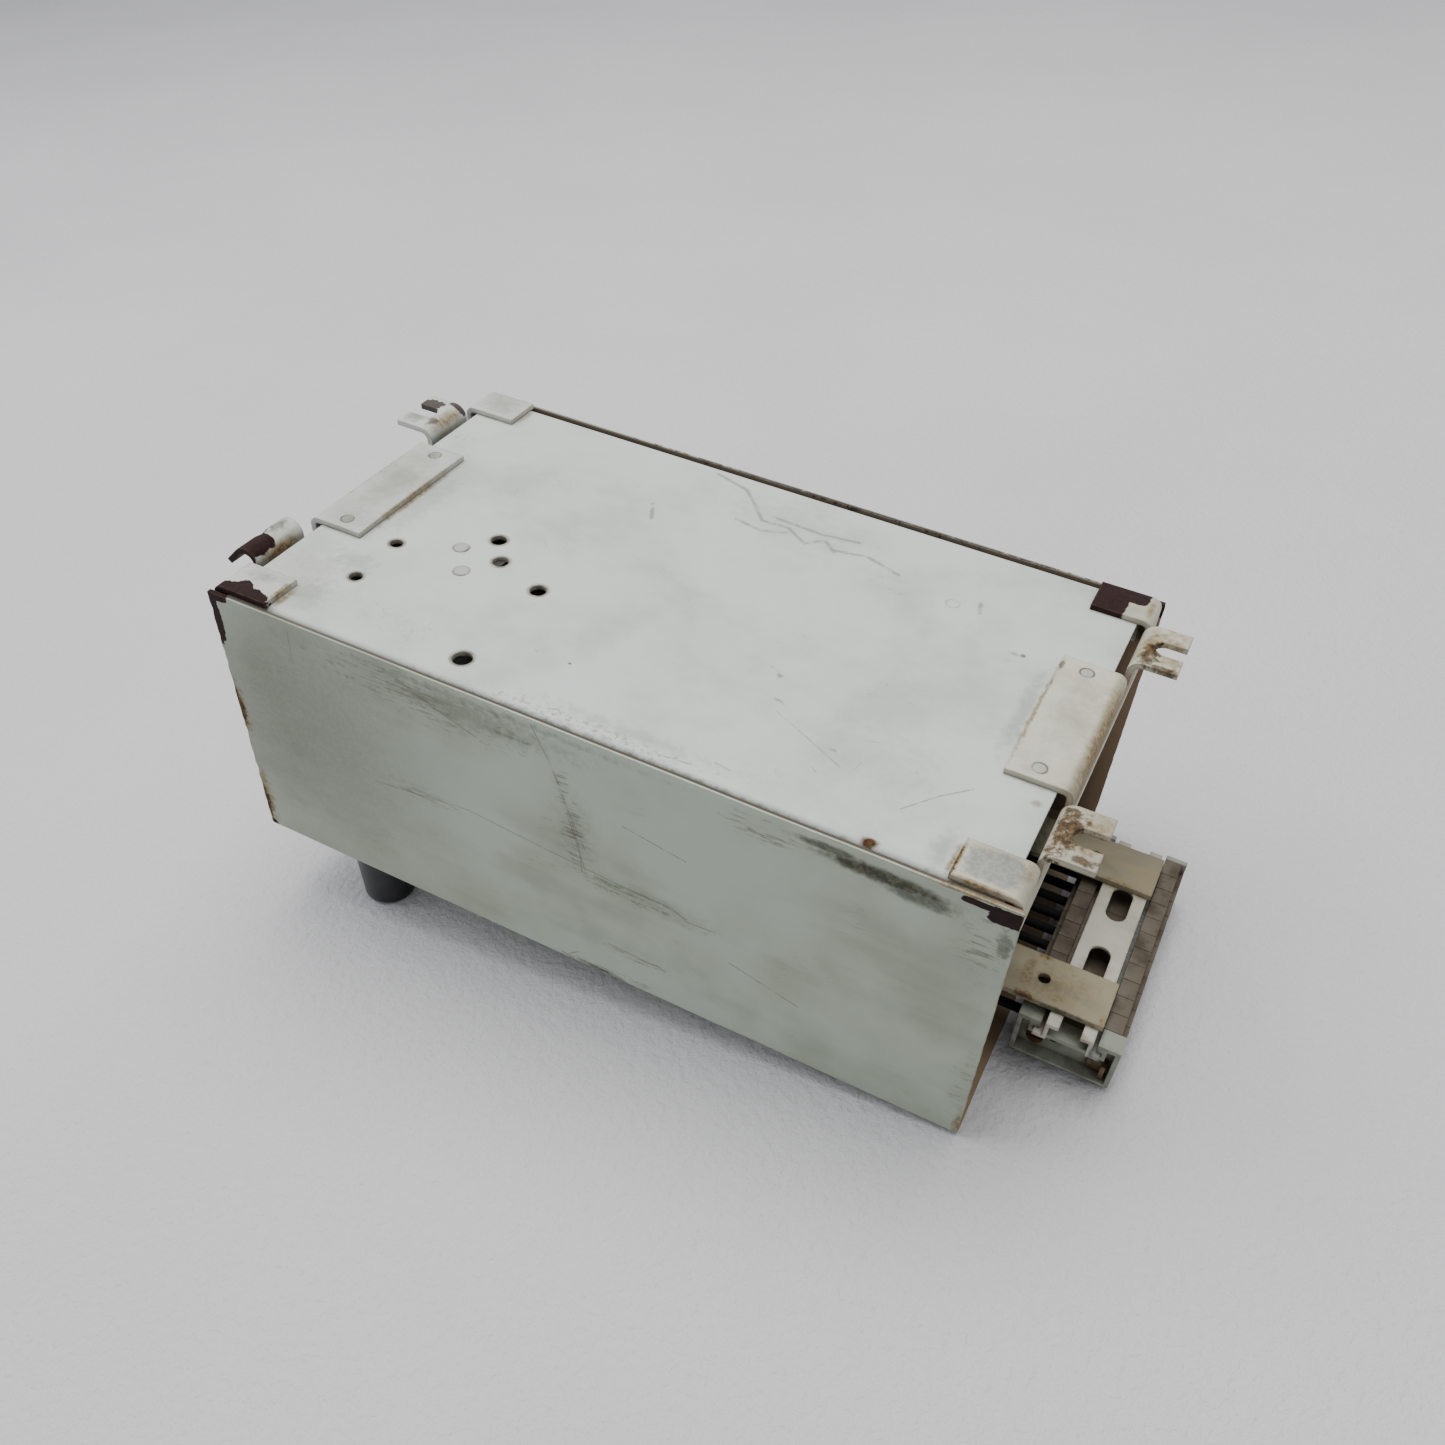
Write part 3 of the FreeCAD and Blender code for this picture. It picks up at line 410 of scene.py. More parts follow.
class RingMark(Effect):
    """A ring round an upright fastener."""

    name = "ring_mark"
    vectors = ("Place", "Centre")
    numbers = ("Radius", "Width", "Breakup", "Strength", "Before")

    def wire(self, graph: Graph, given: Any) -> Any:
        """Measures how far the surface is from the ring.

        Args:
            graph: Graph of the group.
            given: Sockets of the group's inputs.

        Returns:
            The mask.
        """
        away = graph.vector("SUBTRACT", graph.after(given["Place"], given["Before"]), given["Centre"])
        off = graph.math("ABSOLUTE", graph.minus(graph.vector("LENGTH", away), given["Radius"]))
        ring = graph.step(off, given["Width"], 0.0)
        faded = graph.times(ring, graph.step(given["Breakup"], 0.3, 0.6))
        return graph.math("MAXIMUM", graph.times(faded, given["Strength"]), given["Before"])


class EdgeWear(Effect):
    """Wear along sharp edges."""

    name = "edge_wear"
    numbers = ("Reach", "Gain", "Breakup")

    def wire(self, graph: Graph, given: Any) -> Any:
        """Compares the surface's normal with a rounded one.

        Args:
            graph: Graph of the group.
            given: Sockets of the group's inputs.

        Returns:
            The mask.
        """
        rounded = graph.add("Bevel", samples=4)
        graph.put(rounded.inputs["Radius"], given["Reach"])
        own = graph.add("NewGeometry").outputs["Normal"]
        turn = graph.minus(1.0, graph.vector("DOT_PRODUCT", rounded.outputs[0], own))
        broken = graph.step(given["Breakup"], 0.35, 0.6)
        return graph.math("MULTIPLY", graph.times(turn, given["Gain"]), broken, clamp=True)


class CreviceShadeAndDirt(Effect):
    """Darkening of corners and creases, read from ambient occlusion: painted shade, together with dirt."""

    name = "crevice_shade_and_dirt"
    numbers = ("Reach", "Breakup")

    def wire(self, graph: Graph, given: Any) -> Any:
        """Reads how closed in the surface is.

        Args:
            graph: Graph of the group.
            given: Sockets of the group's inputs.

        Returns:
            The mask.
        """
        # Ambient occlusion reads where shade falls; the mask paints that shade, together with dirt.
        closed = graph.add("AmbientOcclusion", samples=4, only_local=False)
        graph.put(closed.inputs["Distance"], given["Reach"])
        depth = graph.minus(1.0, closed.outputs["AO"])
        return graph.step(graph.times(depth, graph.span(given["Breakup"], 0.5, 1.6)), 0.18, 0.75)


class RustBloom(Effect):
    """Mottling of rust, primer and stains."""

    name = "rust_bloom"
    vectors = ("Place",)
    gives = "Mottle"

    def wire(self, graph: Graph, given: Any) -> Any:
        """Sharpens a coarse noise."""
        return graph.step(graph.noise(given["Place"], 900.0, 4.0, 0.65), 0.38, 0.64)


class SurfaceGrain(Effect):
    """Fine relief: paint peel, a brushed finish or a moulded texture."""

    name = "surface_grain"
    vectors = ("Place", "Stretch")
    numbers = ("Scale",)
    gives = "Value"

    def wire(self, graph: Graph, given: Any) -> Any:
        """Reads noise in a stretched frame."""
        drawn = graph.vector("MULTIPLY", given["Place"], given["Stretch"])
        return graph.noise(drawn, given["Scale"], 3.0, 0.6)


class FineScratches(Effect):
    """Many short hair scratches along one direction."""

    name = "fine_scratches"
    vectors = ("Place", "Stretch")
    numbers = ("Scale", "Cut")

    def wire(self, graph: Graph, given: Any) -> Any:
        """Keeps the thin ridges of a stretched noise, in scattered areas only.

        Args:
            graph: Graph of the group.
            given: Sockets of the group's inputs.

        Returns:
            The mask.
        """
        drawn = graph.vector("MULTIPLY", given["Place"], given["Stretch"])
        ridge = graph.math("ABSOLUTE", graph.minus(graph.noise(drawn, given["Scale"], 2.0), 0.5))
        area = graph.noise(given["Place"], 55.0, 3.0)
        scattered = graph.step(area, given["Cut"], graph.plus(given["Cut"], 0.12))
        return graph.times(graph.step(ridge, 0.012, 0.0), scattered)


PATCH = WornPatch()
LINE = ScratchLine()
RING = RingMark()
EDGE = EdgeWear()
CREVICE = CreviceShadeAndDirt()
RUST = RustBloom()
GRAIN = SurfaceGrain()
HAIRS = FineScratches()


class Wear(Enum):
    """What shows in a worn patch, from the first laid to the last."""

    SMUDGE = "smudge"
    FLECKS = "flecks"
    GREASE = "grease"
    OCHRE = "ochre"
    BARE = "bare"
    PRIMER = "primer"
    RUST = "rust"


@dataclass(frozen=True)
class WearLook:
    """Colours and roughness of one kind of wear."""

    pale: tuple[float, float, float, float]
    dark: tuple[float, float, float, float]
    rough: float
    fade: float
    depth: float


WEAR_LOOKS: dict[Wear, WearLook] = {
    Wear.SMUDGE: WearLook(linear(112, 114, 99), linear(96, 98, 84), 0.62, 0.9, 0.0),
    Wear.FLECKS: WearLook(linear(98, 84, 66), linear(66, 54, 42), 0.62, 0.8, 0.0),
    Wear.GREASE: WearLook(linear(84, 84, 62), linear(40, 38, 28), 0.6, 0.6, 0.0),
    Wear.OCHRE: WearLook(linear(154, 134, 94), linear(100, 77, 46), 0.75, 0.8, 0.0),
    Wear.BARE: WearLook(linear(142, 144, 138), linear(114, 117, 115), 0.42, 0.25, -0.3),
    Wear.PRIMER: WearLook(linear(43, 22, 19), linear(31, 15, 13), 0.85, 0.06, -1.0),
    Wear.RUST: WearLook(linear(90, 64, 38), linear(40, 28, 19), 0.9, 0.5, 0.6),
}


@dataclass(frozen=True)
class Patch:
    """One worn patch, in millimetres."""

    kind: Wear
    centre: Point
    reach: Point
    strength: float = 1.0
    ragged: float = 1.0
    square: float = 2.0


def patches(table: dict[Wear, list[tuple[Any, ...]]]) -> tuple[Patch, ...]:
    """Turns a table of worn places into patches.

    Args:
        table: For each kind of wear, rows of centre, reach, strength, raggedness and squareness.

    Returns:
        The patches.
    """
    return tuple(Patch(kind, *row) for kind, rows in table.items() for row in rows)


@dataclass(frozen=True)
class Scratch:
    """A scratch along a line of points, in millimetres."""

    points: tuple[Point, ...]
    width: float = 0.3
    strength: float = 0.6


@dataclass(frozen=True)
class Ring:
    """A dirty ring round a fastener, in millimetres."""

    centre: Point
    radius: float
    width: float = 0.5
    strength: float = 0.7


def principled(name: str) -> tuple[bpy.types.Material, Graph, bpy.types.Node]:
    """Starts a material.

    Args:
        name: Its name.

    Returns:
        The material, its graph and its shader.
    """
    material = bpy.data.materials.new(name)
    material.use_nodes = True
    graph = Graph(material.node_tree)
    return material, graph, material.node_tree.nodes["Principled BSDF"]


def raise_surface(graph: Graph, shader: bpy.types.Node, height: Any, depth: float) -> None:
    """Feeds a height in millimetres to a shader's normal.

    Args:
        graph: Graph of the material.
        shader: The shader.
        height: Height's socket.
        depth: What a height of 1 stands for, in millimetres.
    """
    bump = graph.add("Bump")
    bump.inputs["Strength"].default_value = 1.0
    bump.inputs["Distance"].default_value = depth * MM
    graph.put(bump.inputs["Height"], height)
    graph.put(shader.inputs["Normal"], bump.outputs[0])


DUST = linear(118, 120, 110)
SPECKS = linear(90, 88, 78)
SCRATCH_SOIL = linear(84, 76, 64)
# Brown for closed-in spots: painted shade, together with dirt.
CREVICE_SHADE_AND_SOIL = linear(92, 76, 58)
EDGE_SOIL = linear(96, 72, 54)
# Painted shade inside the case: dark deep inside, paler brown near the open end where painted light falls
# in.
INSIDE_SHADE_DARK = linear(46, 38, 31)
INSIDE_SHADE_PALE = linear(84, 70, 56)
OPENING_PAINTED_LIGHT = linear(138, 114, 88)
PEEL = 1500.0  # bumps of the paint's skin to the metre
STREAKS = 150.0  # streaks of dust to the metre
CLOUDS = 26.0  # pale and dark areas to the metre
BREAKUP = 420.0  # notches in a worn edge to the metre
SPECK_DENSITY = 1300.0  # specks to the metre
SPECK_AREAS = 60.0  # areas with specks to the metre


@dataclass(frozen=True)
class PaintFinish:
    """Semi-matt paint over dark primer, with its own wear, and painted shade in closed-in spots and inside
    the case.
    """

    name: str
    colour: Colour
    second: Colour
    rough: float = 0.42
    grime: float = 0.35
    edge: float = 0.8
    edge_reach: float = 0.5
    crevice: float = 0.75
    streak: Point = (0.12, 1.0, 1.0)
    # Box of the case's inside that gets painted shade, and the X range over which painted light brightens it
    # towards the open end.
    inside: tuple[Point, Point] | None = None
    opening: tuple[float, float] = (84.0, 101.0)
    patches: tuple[Patch, ...] = ()
    scratches: tuple[Scratch, ...] = ()
    rings: tuple[Ring, ...] = ()

    def ground(self, graph: Graph, place: Any, cloud: Any) -> Any:
        """Lays the paint with its dust and specks.

        Args:
            graph: Graph of the material.
            place: Where the surface is.
            cloud: Coarse noise.

        Returns:
            The colour's socket.
        """
        colour = graph.mix(graph.step(cloud, 0.35, 0.65), linear(*self.colour), linear(*self.second))
        drift = GRAIN.use(graph, Place=place, Stretch=self.streak, Scale=STREAKS)
        dusty = graph.times(graph.step(graph.times(drift, cloud), 0.2, 0.42), self.grime)
        colour = graph.mix(dusty, colour, DUST)
        specks = graph.step(graph.noise(place, SPECK_DENSITY, 2.0), 0.7, 0.76)
        patchy = graph.step(graph.noise(place, SPECK_AREAS, 3.0), 0.5, 0.66)
        return graph.mix(graph.times(graph.times(specks, patchy), 0.4), colour, SPECKS)

    def shaded_inside(self, graph: Graph, place: Any, cloud: Any, breakup: Any, colour: Any) -> Any:
        """Paints shade inside the case: dark brown deep inside, paler near its open end as painted light
        falling in.

        Args:
            graph: Graph of the material.
            place: Where the surface is.
            cloud: Coarse noise.
            breakup: Noise that breaks edges up.
            colour: Colour so far.

        Returns:
            The colour's socket.
        """
        centre, reach = self.inside
        shut = PATCH.use(graph, Place=place, Centre=metres(centre), Reach=metres(reach), Breakup=breakup,
                         Ragged=0.0, Square=200.0, Fade=0.003, Strength=0.95, Before=0.0)
        opening = graph.step(graph.axes(place)[0], self.opening[0] * MM, self.opening[1] * MM)
        inside_shade = graph.mix(cloud, INSIDE_SHADE_DARK, INSIDE_SHADE_PALE)
        return graph.mix(shut, colour, graph.mix(opening, inside_shade, OPENING_PAINTED_LIGHT))

    def masks(self, graph: Graph, place: Any, breakup: Any, kind: Wear) -> Any:
        """Joins the patches of one kind.

        Args:
            graph: Graph of the material.
            place: Where the surface is.
            breakup: Noise that breaks the edges up.
            kind: Kind of wear.

        Returns:
            The mask's socket, or None where there is no such patch.
        """
        joined = None
        for patch in self.patches:
            if patch.kind is kind:
                joined = PATCH.use(graph, Place=place, Centre=metres(patch.centre),
                                   Reach=metres(patch.reach), Breakup=breakup, Ragged=patch.ragged,
                                   Square=patch.square, Fade=WEAR_LOOKS[kind].fade,
                                   Strength=patch.strength, Before=joined or 0.0)
        if joined is None or kind is not Wear.FLECKS:
            return joined
        drawn = GRAIN.use(graph, Place=graph.after(place, joined), Stretch=self.streak, Scale=PEEL)
        return graph.times(joined, graph.step(drawn, 0.5, 0.6))

    def scratch_mask(self, graph: Graph, place: Any, breakup: Any) -> Any:
        """Joins the scratches and the rings.

        Args:
            graph: Graph of the material.
            place: Where the surface is.
            breakup: Noise that lets them fade.

        Returns:
            The mask's socket.
        """
        joined = HAIRS.use(graph, Place=place, Stretch=self.streak, Scale=420.0, Cut=0.56)
        joined = graph.times(joined, 0.3)
        for scratch in self.scratches:
            for start, finish in zip(scratch.points, scratch.points[1:]):
                joined = LINE.use(graph, Place=place, Start=metres(start), Finish=metres(finish),
                                  Width=scratch.width * MM, Breakup=breakup,
                                  Strength=scratch.strength, Before=joined)
        for ring in self.rings:
            joined = RING.use(graph, Place=place, Centre=metres(ring.centre), Radius=ring.radius * MM,
                              Width=ring.width * MM, Breakup=breakup, Strength=ring.strength,
                              Before=joined)
        return joined

    def build(self) -> bpy.types.Material:
        """Builds the material.

        Returns:
            The paint.
        """
        material, graph, shader = principled(self.name)
        place = graph.place()
        breakup = graph.noise(place, BREAKUP, 5.0, 0.62)
        cloud = graph.noise(place, CLOUDS, 4.0, 0.6)
        colour = self.ground(graph, place, cloud)
        # Painted shade inside the case, brightened towards the open end.
        if self.inside is not None:
            colour = self.shaded_inside(graph, place, cloud, breakup, colour)
        marks = self.scratch_mask(graph, place, breakup)
        colour = graph.mix(marks, colour, SCRATCH_SOIL)
        place = graph.after(place, marks)
        # Closed-in spots are browned and darkened: painted shade, together with dirt.
        crevice = CREVICE.use(graph, Reach=3.0 * MM, Breakup=breakup)
        colour = graph.mix(graph.times(crevice, self.crevice), colour, CREVICE_SHADE_AND_SOIL)
        rough = graph.span(cloud, self.rough - 0.06, self.rough + 0.1)
        rough = graph.plus(rough, graph.times(crevice, 0.25))
        peel = GRAIN.use(graph, Place=place, Stretch=(1.0, 1.0, 1.0), Scale=PEEL)
        height = graph.minus(graph.times(peel, 0.12), graph.times(marks, 0.5))
        mottle = RUST.use(graph, Place=place)
        crust = graph.minus(mottle, 0.5)
        for kind in Wear:
            mask = self.masks(graph, place, breakup, kind)
            if mask is None:
                continue
            look = WEAR_LOOKS[kind]
            place = graph.after(place, mask)
            colour = graph.mix(mask, colour, graph.mix(mottle, look.dark, look.pale))
            if look.depth:
                height = graph.plus(height, graph.times(mask, look.depth))
            if kind is Wear.RUST:
                height = graph.plus(height, graph.times(mask, crust))
            rough = graph.plus(rough, graph.times(mask, look.rough - self.rough))
        worn = EDGE.use(graph, Reach=self.edge_reach * MM, Gain=3.5, Breakup=breakup)
        colour = graph.mix(graph.times(worn, self.edge), colour, EDGE_SOIL)
        graph.put(shader.inputs["Base Color"], colour)
        graph.put(shader.inputs["Roughness"], rough)
        shader.inputs["Specular IOR Level"].default_value = 0.3
        raise_surface(graph, shader, height, 0.12)
        return material


@dataclass(frozen=True)
class MetalFinish:
    """Bare or plated metal."""

    name: str
    colour: Colour
    tarnish: Colour
    rough: float = 0.38
    amount: float = 0.5
    stretch: Point = (1.0, 0.06, 1.0)
    relief: float = 0.01

    def build(self) -> bpy.types.Material:
        """Builds the material.

        Returns:
            The metal.
        """
        material, graph, shader = principled(self.name)
        place = graph.place()
        breakup = graph.noise(place, 520.0, 5.0, 0.65)
        drawn = GRAIN.use(graph, Place=place, Stretch=self.stretch, Scale=4000.0)
        crevice = CREVICE.use(graph, Reach=2.0 * MM, Breakup=breakup)
        stain = graph.times(graph.step(breakup, 0.42, 0.68), self.amount)
        stain = graph.math("MAXIMUM", stain, graph.times(crevice, 0.8))
        bright = graph.mix(graph.span(drawn, 0.0, 0.35), linear(*self.colour), linear(*self.tarnish))
        graph.put(shader.inputs["Base Color"], graph.mix(stain, bright, linear(*self.tarnish)))
        graph.put(shader.inputs["Metallic"], graph.span(stain, 1.0, 0.35))
        rough = graph.plus(graph.span(drawn, self.rough - 0.08, self.rough + 0.1), graph.times(stain, 0.3))
        graph.put(shader.inputs["Roughness"], rough)
        raise_surface(graph, shader, drawn, self.relief)
        return material


@dataclass(frozen=True)
class MouldedFinish:
    """Moulded plastic or a similar soft surface."""

    name: str
    colour: Colour
    dust: Colour
    rough: float = 0.45
    dirt: float = 0.35
    crevice: float = 0.5
    grain: float = 2600.0
    relief: float = 0.03
    stretch: Point = (1.0, 1.0, 1.0)

    def build(self) -> bpy.types.Material:
        """Builds the material.

        Returns:
            The plastic.
        """
        material, graph, shader = principled(self.name)
        place = graph.place()
        cloud = graph.noise(place, 140.0, 5.0, 0.6)
        grain = GRAIN.use(graph, Place=place, Stretch=self.stretch, Scale=self.grain)
        crevice = CREVICE.use(graph, Reach=2.5 * MM, Breakup=cloud)
        dusty = graph.times(graph.step(cloud, 0.4, 0.7), self.dirt)
        dusty = graph.math("MAXIMUM", dusty, graph.times(crevice, self.crevice))
        hairs = HAIRS.use(graph, Place=place, Stretch=(1.0, 0.4, 1.0), Scale=700.0, Cut=0.5)
        colour = graph.mix(dusty, linear(*self.colour), linear(*self.dust))
        colour = graph.mix(graph.times(hairs, 0.25), colour, linear(*self.dust))
        worn = EDGE.use(graph, Reach=0.3 * MM, Gain=2.0, Breakup=cloud)
        colour = graph.mix(graph.times(worn, 0.3), colour, linear(*self.dust))
        graph.put(shader.inputs["Base Color"], colour)
        rough = graph.plus(graph.span(grain, self.rough - 0.05, self.rough + 0.08), graph.times(dusty, 0.3))
        graph.put(shader.inputs["Roughness"], rough)
        raise_surface(graph, shader, grain, self.relief)
        return material


@dataclass(frozen=True)
class BandedFinish:
    """A surface of thin layers or lines: laminations, tape or board tracks."""

    name: str
    colour: Colour
    line: Colour
    pitch: float
    axis: int = 1
    rough: float = 0.4
    metallic: float = 0.0
    sway: float = 0.0

    def build(self) -> bpy.types.Material:
        """Builds the material.

        Returns:
            The layered surface.
        """
        material, graph, shader = principled(self.name)
        place = graph.place()
        cloud = graph.noise(place, 160.0, 5.0, 0.6)
        sway = graph.times(graph.step(cloud, 0.45, 0.5), self.sway * MM)
        along = graph.plus(graph.axes(place)[self.axis], sway)
        phase = graph.math("FRACT", graph.math("DIVIDE", along, self.pitch * MM))
        edge = graph.math("ABSOLUTE", graph.minus(phase, 0.5))
        line = graph.step(edge, 0.36, 0.48)
        colour = graph.mix(line, linear(*self.colour), linear(*self.line))
        crevice = CREVICE.use(graph, Reach=3.0 * MM, Breakup=cloud)
        dusty = graph.times(graph.step(cloud, 0.45, 0.7), 0.35)
        dusty = graph.math("MAXIMUM", dusty, graph.times(crevice, 0.5))
        colour = graph.mix(dusty, colour, linear(104, 92, 76))
        graph.put(shader.inputs["Base Color"], colour)
        shader.inputs["Metallic"].default_value = self.metallic
        graph.put(shader.inputs["Roughness"], graph.span(cloud, self.rough - 0.08, self.rough + 0.18))
        raise_surface(graph, shader, graph.minus(1.0, line), 0.06)
        return material


@dataclass(frozen=True)
class GlassFinish:
    """Clear glass with metal end caps, for the fuse."""

    name: str
    caps: tuple[tuple[float, float], ...]

    def build(self) -> bpy.types.Material:
        """Builds the material: the caps are metal, the barrel between them is glass.

        Returns:
            The fuse's material.
        """
        material, graph, shader = principled(self.name)
        glass = graph.add("BsdfPrincipled")
        glass.inputs["Base Color"].default_value = linear(226, 230, 226)
        glass.inputs["Roughness"].default_value = 0.06
        glass.inputs["Transmission Weight"].default_value = 0.9
        place = graph.place()
        length = graph.axes(place)[0]
        cap: Any = 0.0
        for low, high in self.caps:
            inside = graph.times(graph.math("GREATER_THAN", length, low),
                                 graph.math("LESS_THAN", length, high))
            cap = graph.math("MAXIMUM", inside, cap)
        stain = graph.noise(place, 700.0, 4.0)
        graph.put(shader.inputs["Base Color"], graph.mix(stain, linear(176, 172, 160), linear(120, 112, 96)))
        shader.inputs["Metallic"].default_value = 1.0
        graph.put(shader.inputs["Roughness"], graph.span(stain, 0.2, 0.45))
        blend = graph.add("MixShader")
        graph.put(blend.inputs[0], cap)
        graph.put(blend.inputs[1], glass.outputs[0])
        graph.put(blend.inputs[2], shader.outputs[0])
        output = material.node_tree.nodes["Material Output"]
        graph.put(output.inputs["Surface"], blend.outputs[0])
        return material


class WorkedPiece:
    """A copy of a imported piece's mesh, worked as sheet or moulding."""

    def __init__(self, node: str) -> None:
        """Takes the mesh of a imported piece, with its flat faces joined up.

        Args:
            node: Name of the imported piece.
        """
        self.node = node
        self.body: str = bpy.data.objects[node]["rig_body"]
        self.mesh = bmesh.new()
        self.mesh.from_mesh(bpy.data.objects[node].data)
        bmesh.ops.remove_doubles(self.mesh, verts=self.mesh.verts, dist=1e-6)
        bmesh.ops.dissolve_limit(self.mesh, angle_limit=math.radians(0.5),
                                 verts=self.mesh.verts, edges=self.mesh.edges)

    def cut(self, axis: int, places: Iterable[float]) -> None:
        """Cuts the mesh across at each place.

        Args:
            axis: 0 for X, 1 for Y, 2 for Z.
            places: Where, in millimetres.
        """
        across = Vector([1.0 if index == axis else 0.0 for index in range(3)])
        for place in places:
            bmesh.ops.bisect_plane(self.mesh, geom=[*self.mesh.verts, *self.mesh.edges, *self.mesh.faces],
                                   dist=1e-7, plane_co=across * place * MM, plane_no=across)

    def move(self, rule: Callable[[Vector], Vector]) -> None:
        """Moves every point.

        Args:
            rule: Gives a point's new place, in millimetres.
        """
        for vertex in self.mesh.verts:
            vertex.co = rule(vertex.co / MM) * MM

    def finish(self, name: str, material: bpy.types.Material, slot: str, bevel: float) -> bpy.types.Object:
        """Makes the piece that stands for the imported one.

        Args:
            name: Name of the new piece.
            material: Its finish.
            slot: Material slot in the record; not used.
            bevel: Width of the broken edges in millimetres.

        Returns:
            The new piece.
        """
        data = bpy.data.meshes.new(name)
        bmesh.ops.recalc_face_normals(self.mesh, faces=self.mesh.faces)
        self.mesh.to_mesh(data)
        self.mesh.free()
        data.materials.append(material)
        data.shade_smooth()
        piece = bpy.data.objects.new(name, data)
        bpy.context.scene.collection.objects.link(piece)
        if bevel > 0:
            rounding = piece.modifiers.new("broken_edges", "BEVEL")
            rounding.width = bevel * MM
            rounding.segments = 2
            rounding.limit_method = "ANGLE"
            rounding.angle_limit = math.radians(28)
            rounding.harden_normals = True
        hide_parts(self.node)
        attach(piece, self.body)
        LOG.info("%s: %s", name, material.name)
        return piece


def every(low: float, high: float, pitch: float) -> list[float]:
    """Evenly spaced places strictly between two limits.

    Args:
        low: Lower limit.
        high: Upper limit.
        pitch: Spacing to come close to.

    Returns:
        The places.
    """
    count = max(1, round((high - low) / pitch))
    return [low + (high - low) * index / count for index in range(1, count)]


def ripple(point: Vector, size: float, seed: float) -> float:
    """Smooth noise between about -1 and 1.

    Args:
        point: Where, in millimetres.
        size: Width of one ripple in millimetres.
        seed: Number that sets it apart from the others.

    Returns:
        The noise.
    """
    return noise.noise(point / size + Vector((seed, 1.7 * seed, 0.3 * seed)))


def dress(nodes: Iterable[str], material: bpy.types.Material) -> None:
    """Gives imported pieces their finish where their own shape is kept.

    Args:
        nodes: Names of the pieces.
        material: The finish.
    """
    for node in nodes:
        piece = bpy.data.objects[node]
        piece.data.materials.clear()
        piece.data.materials.append(material)
        LOG.info("%s: %s", node, material.name)


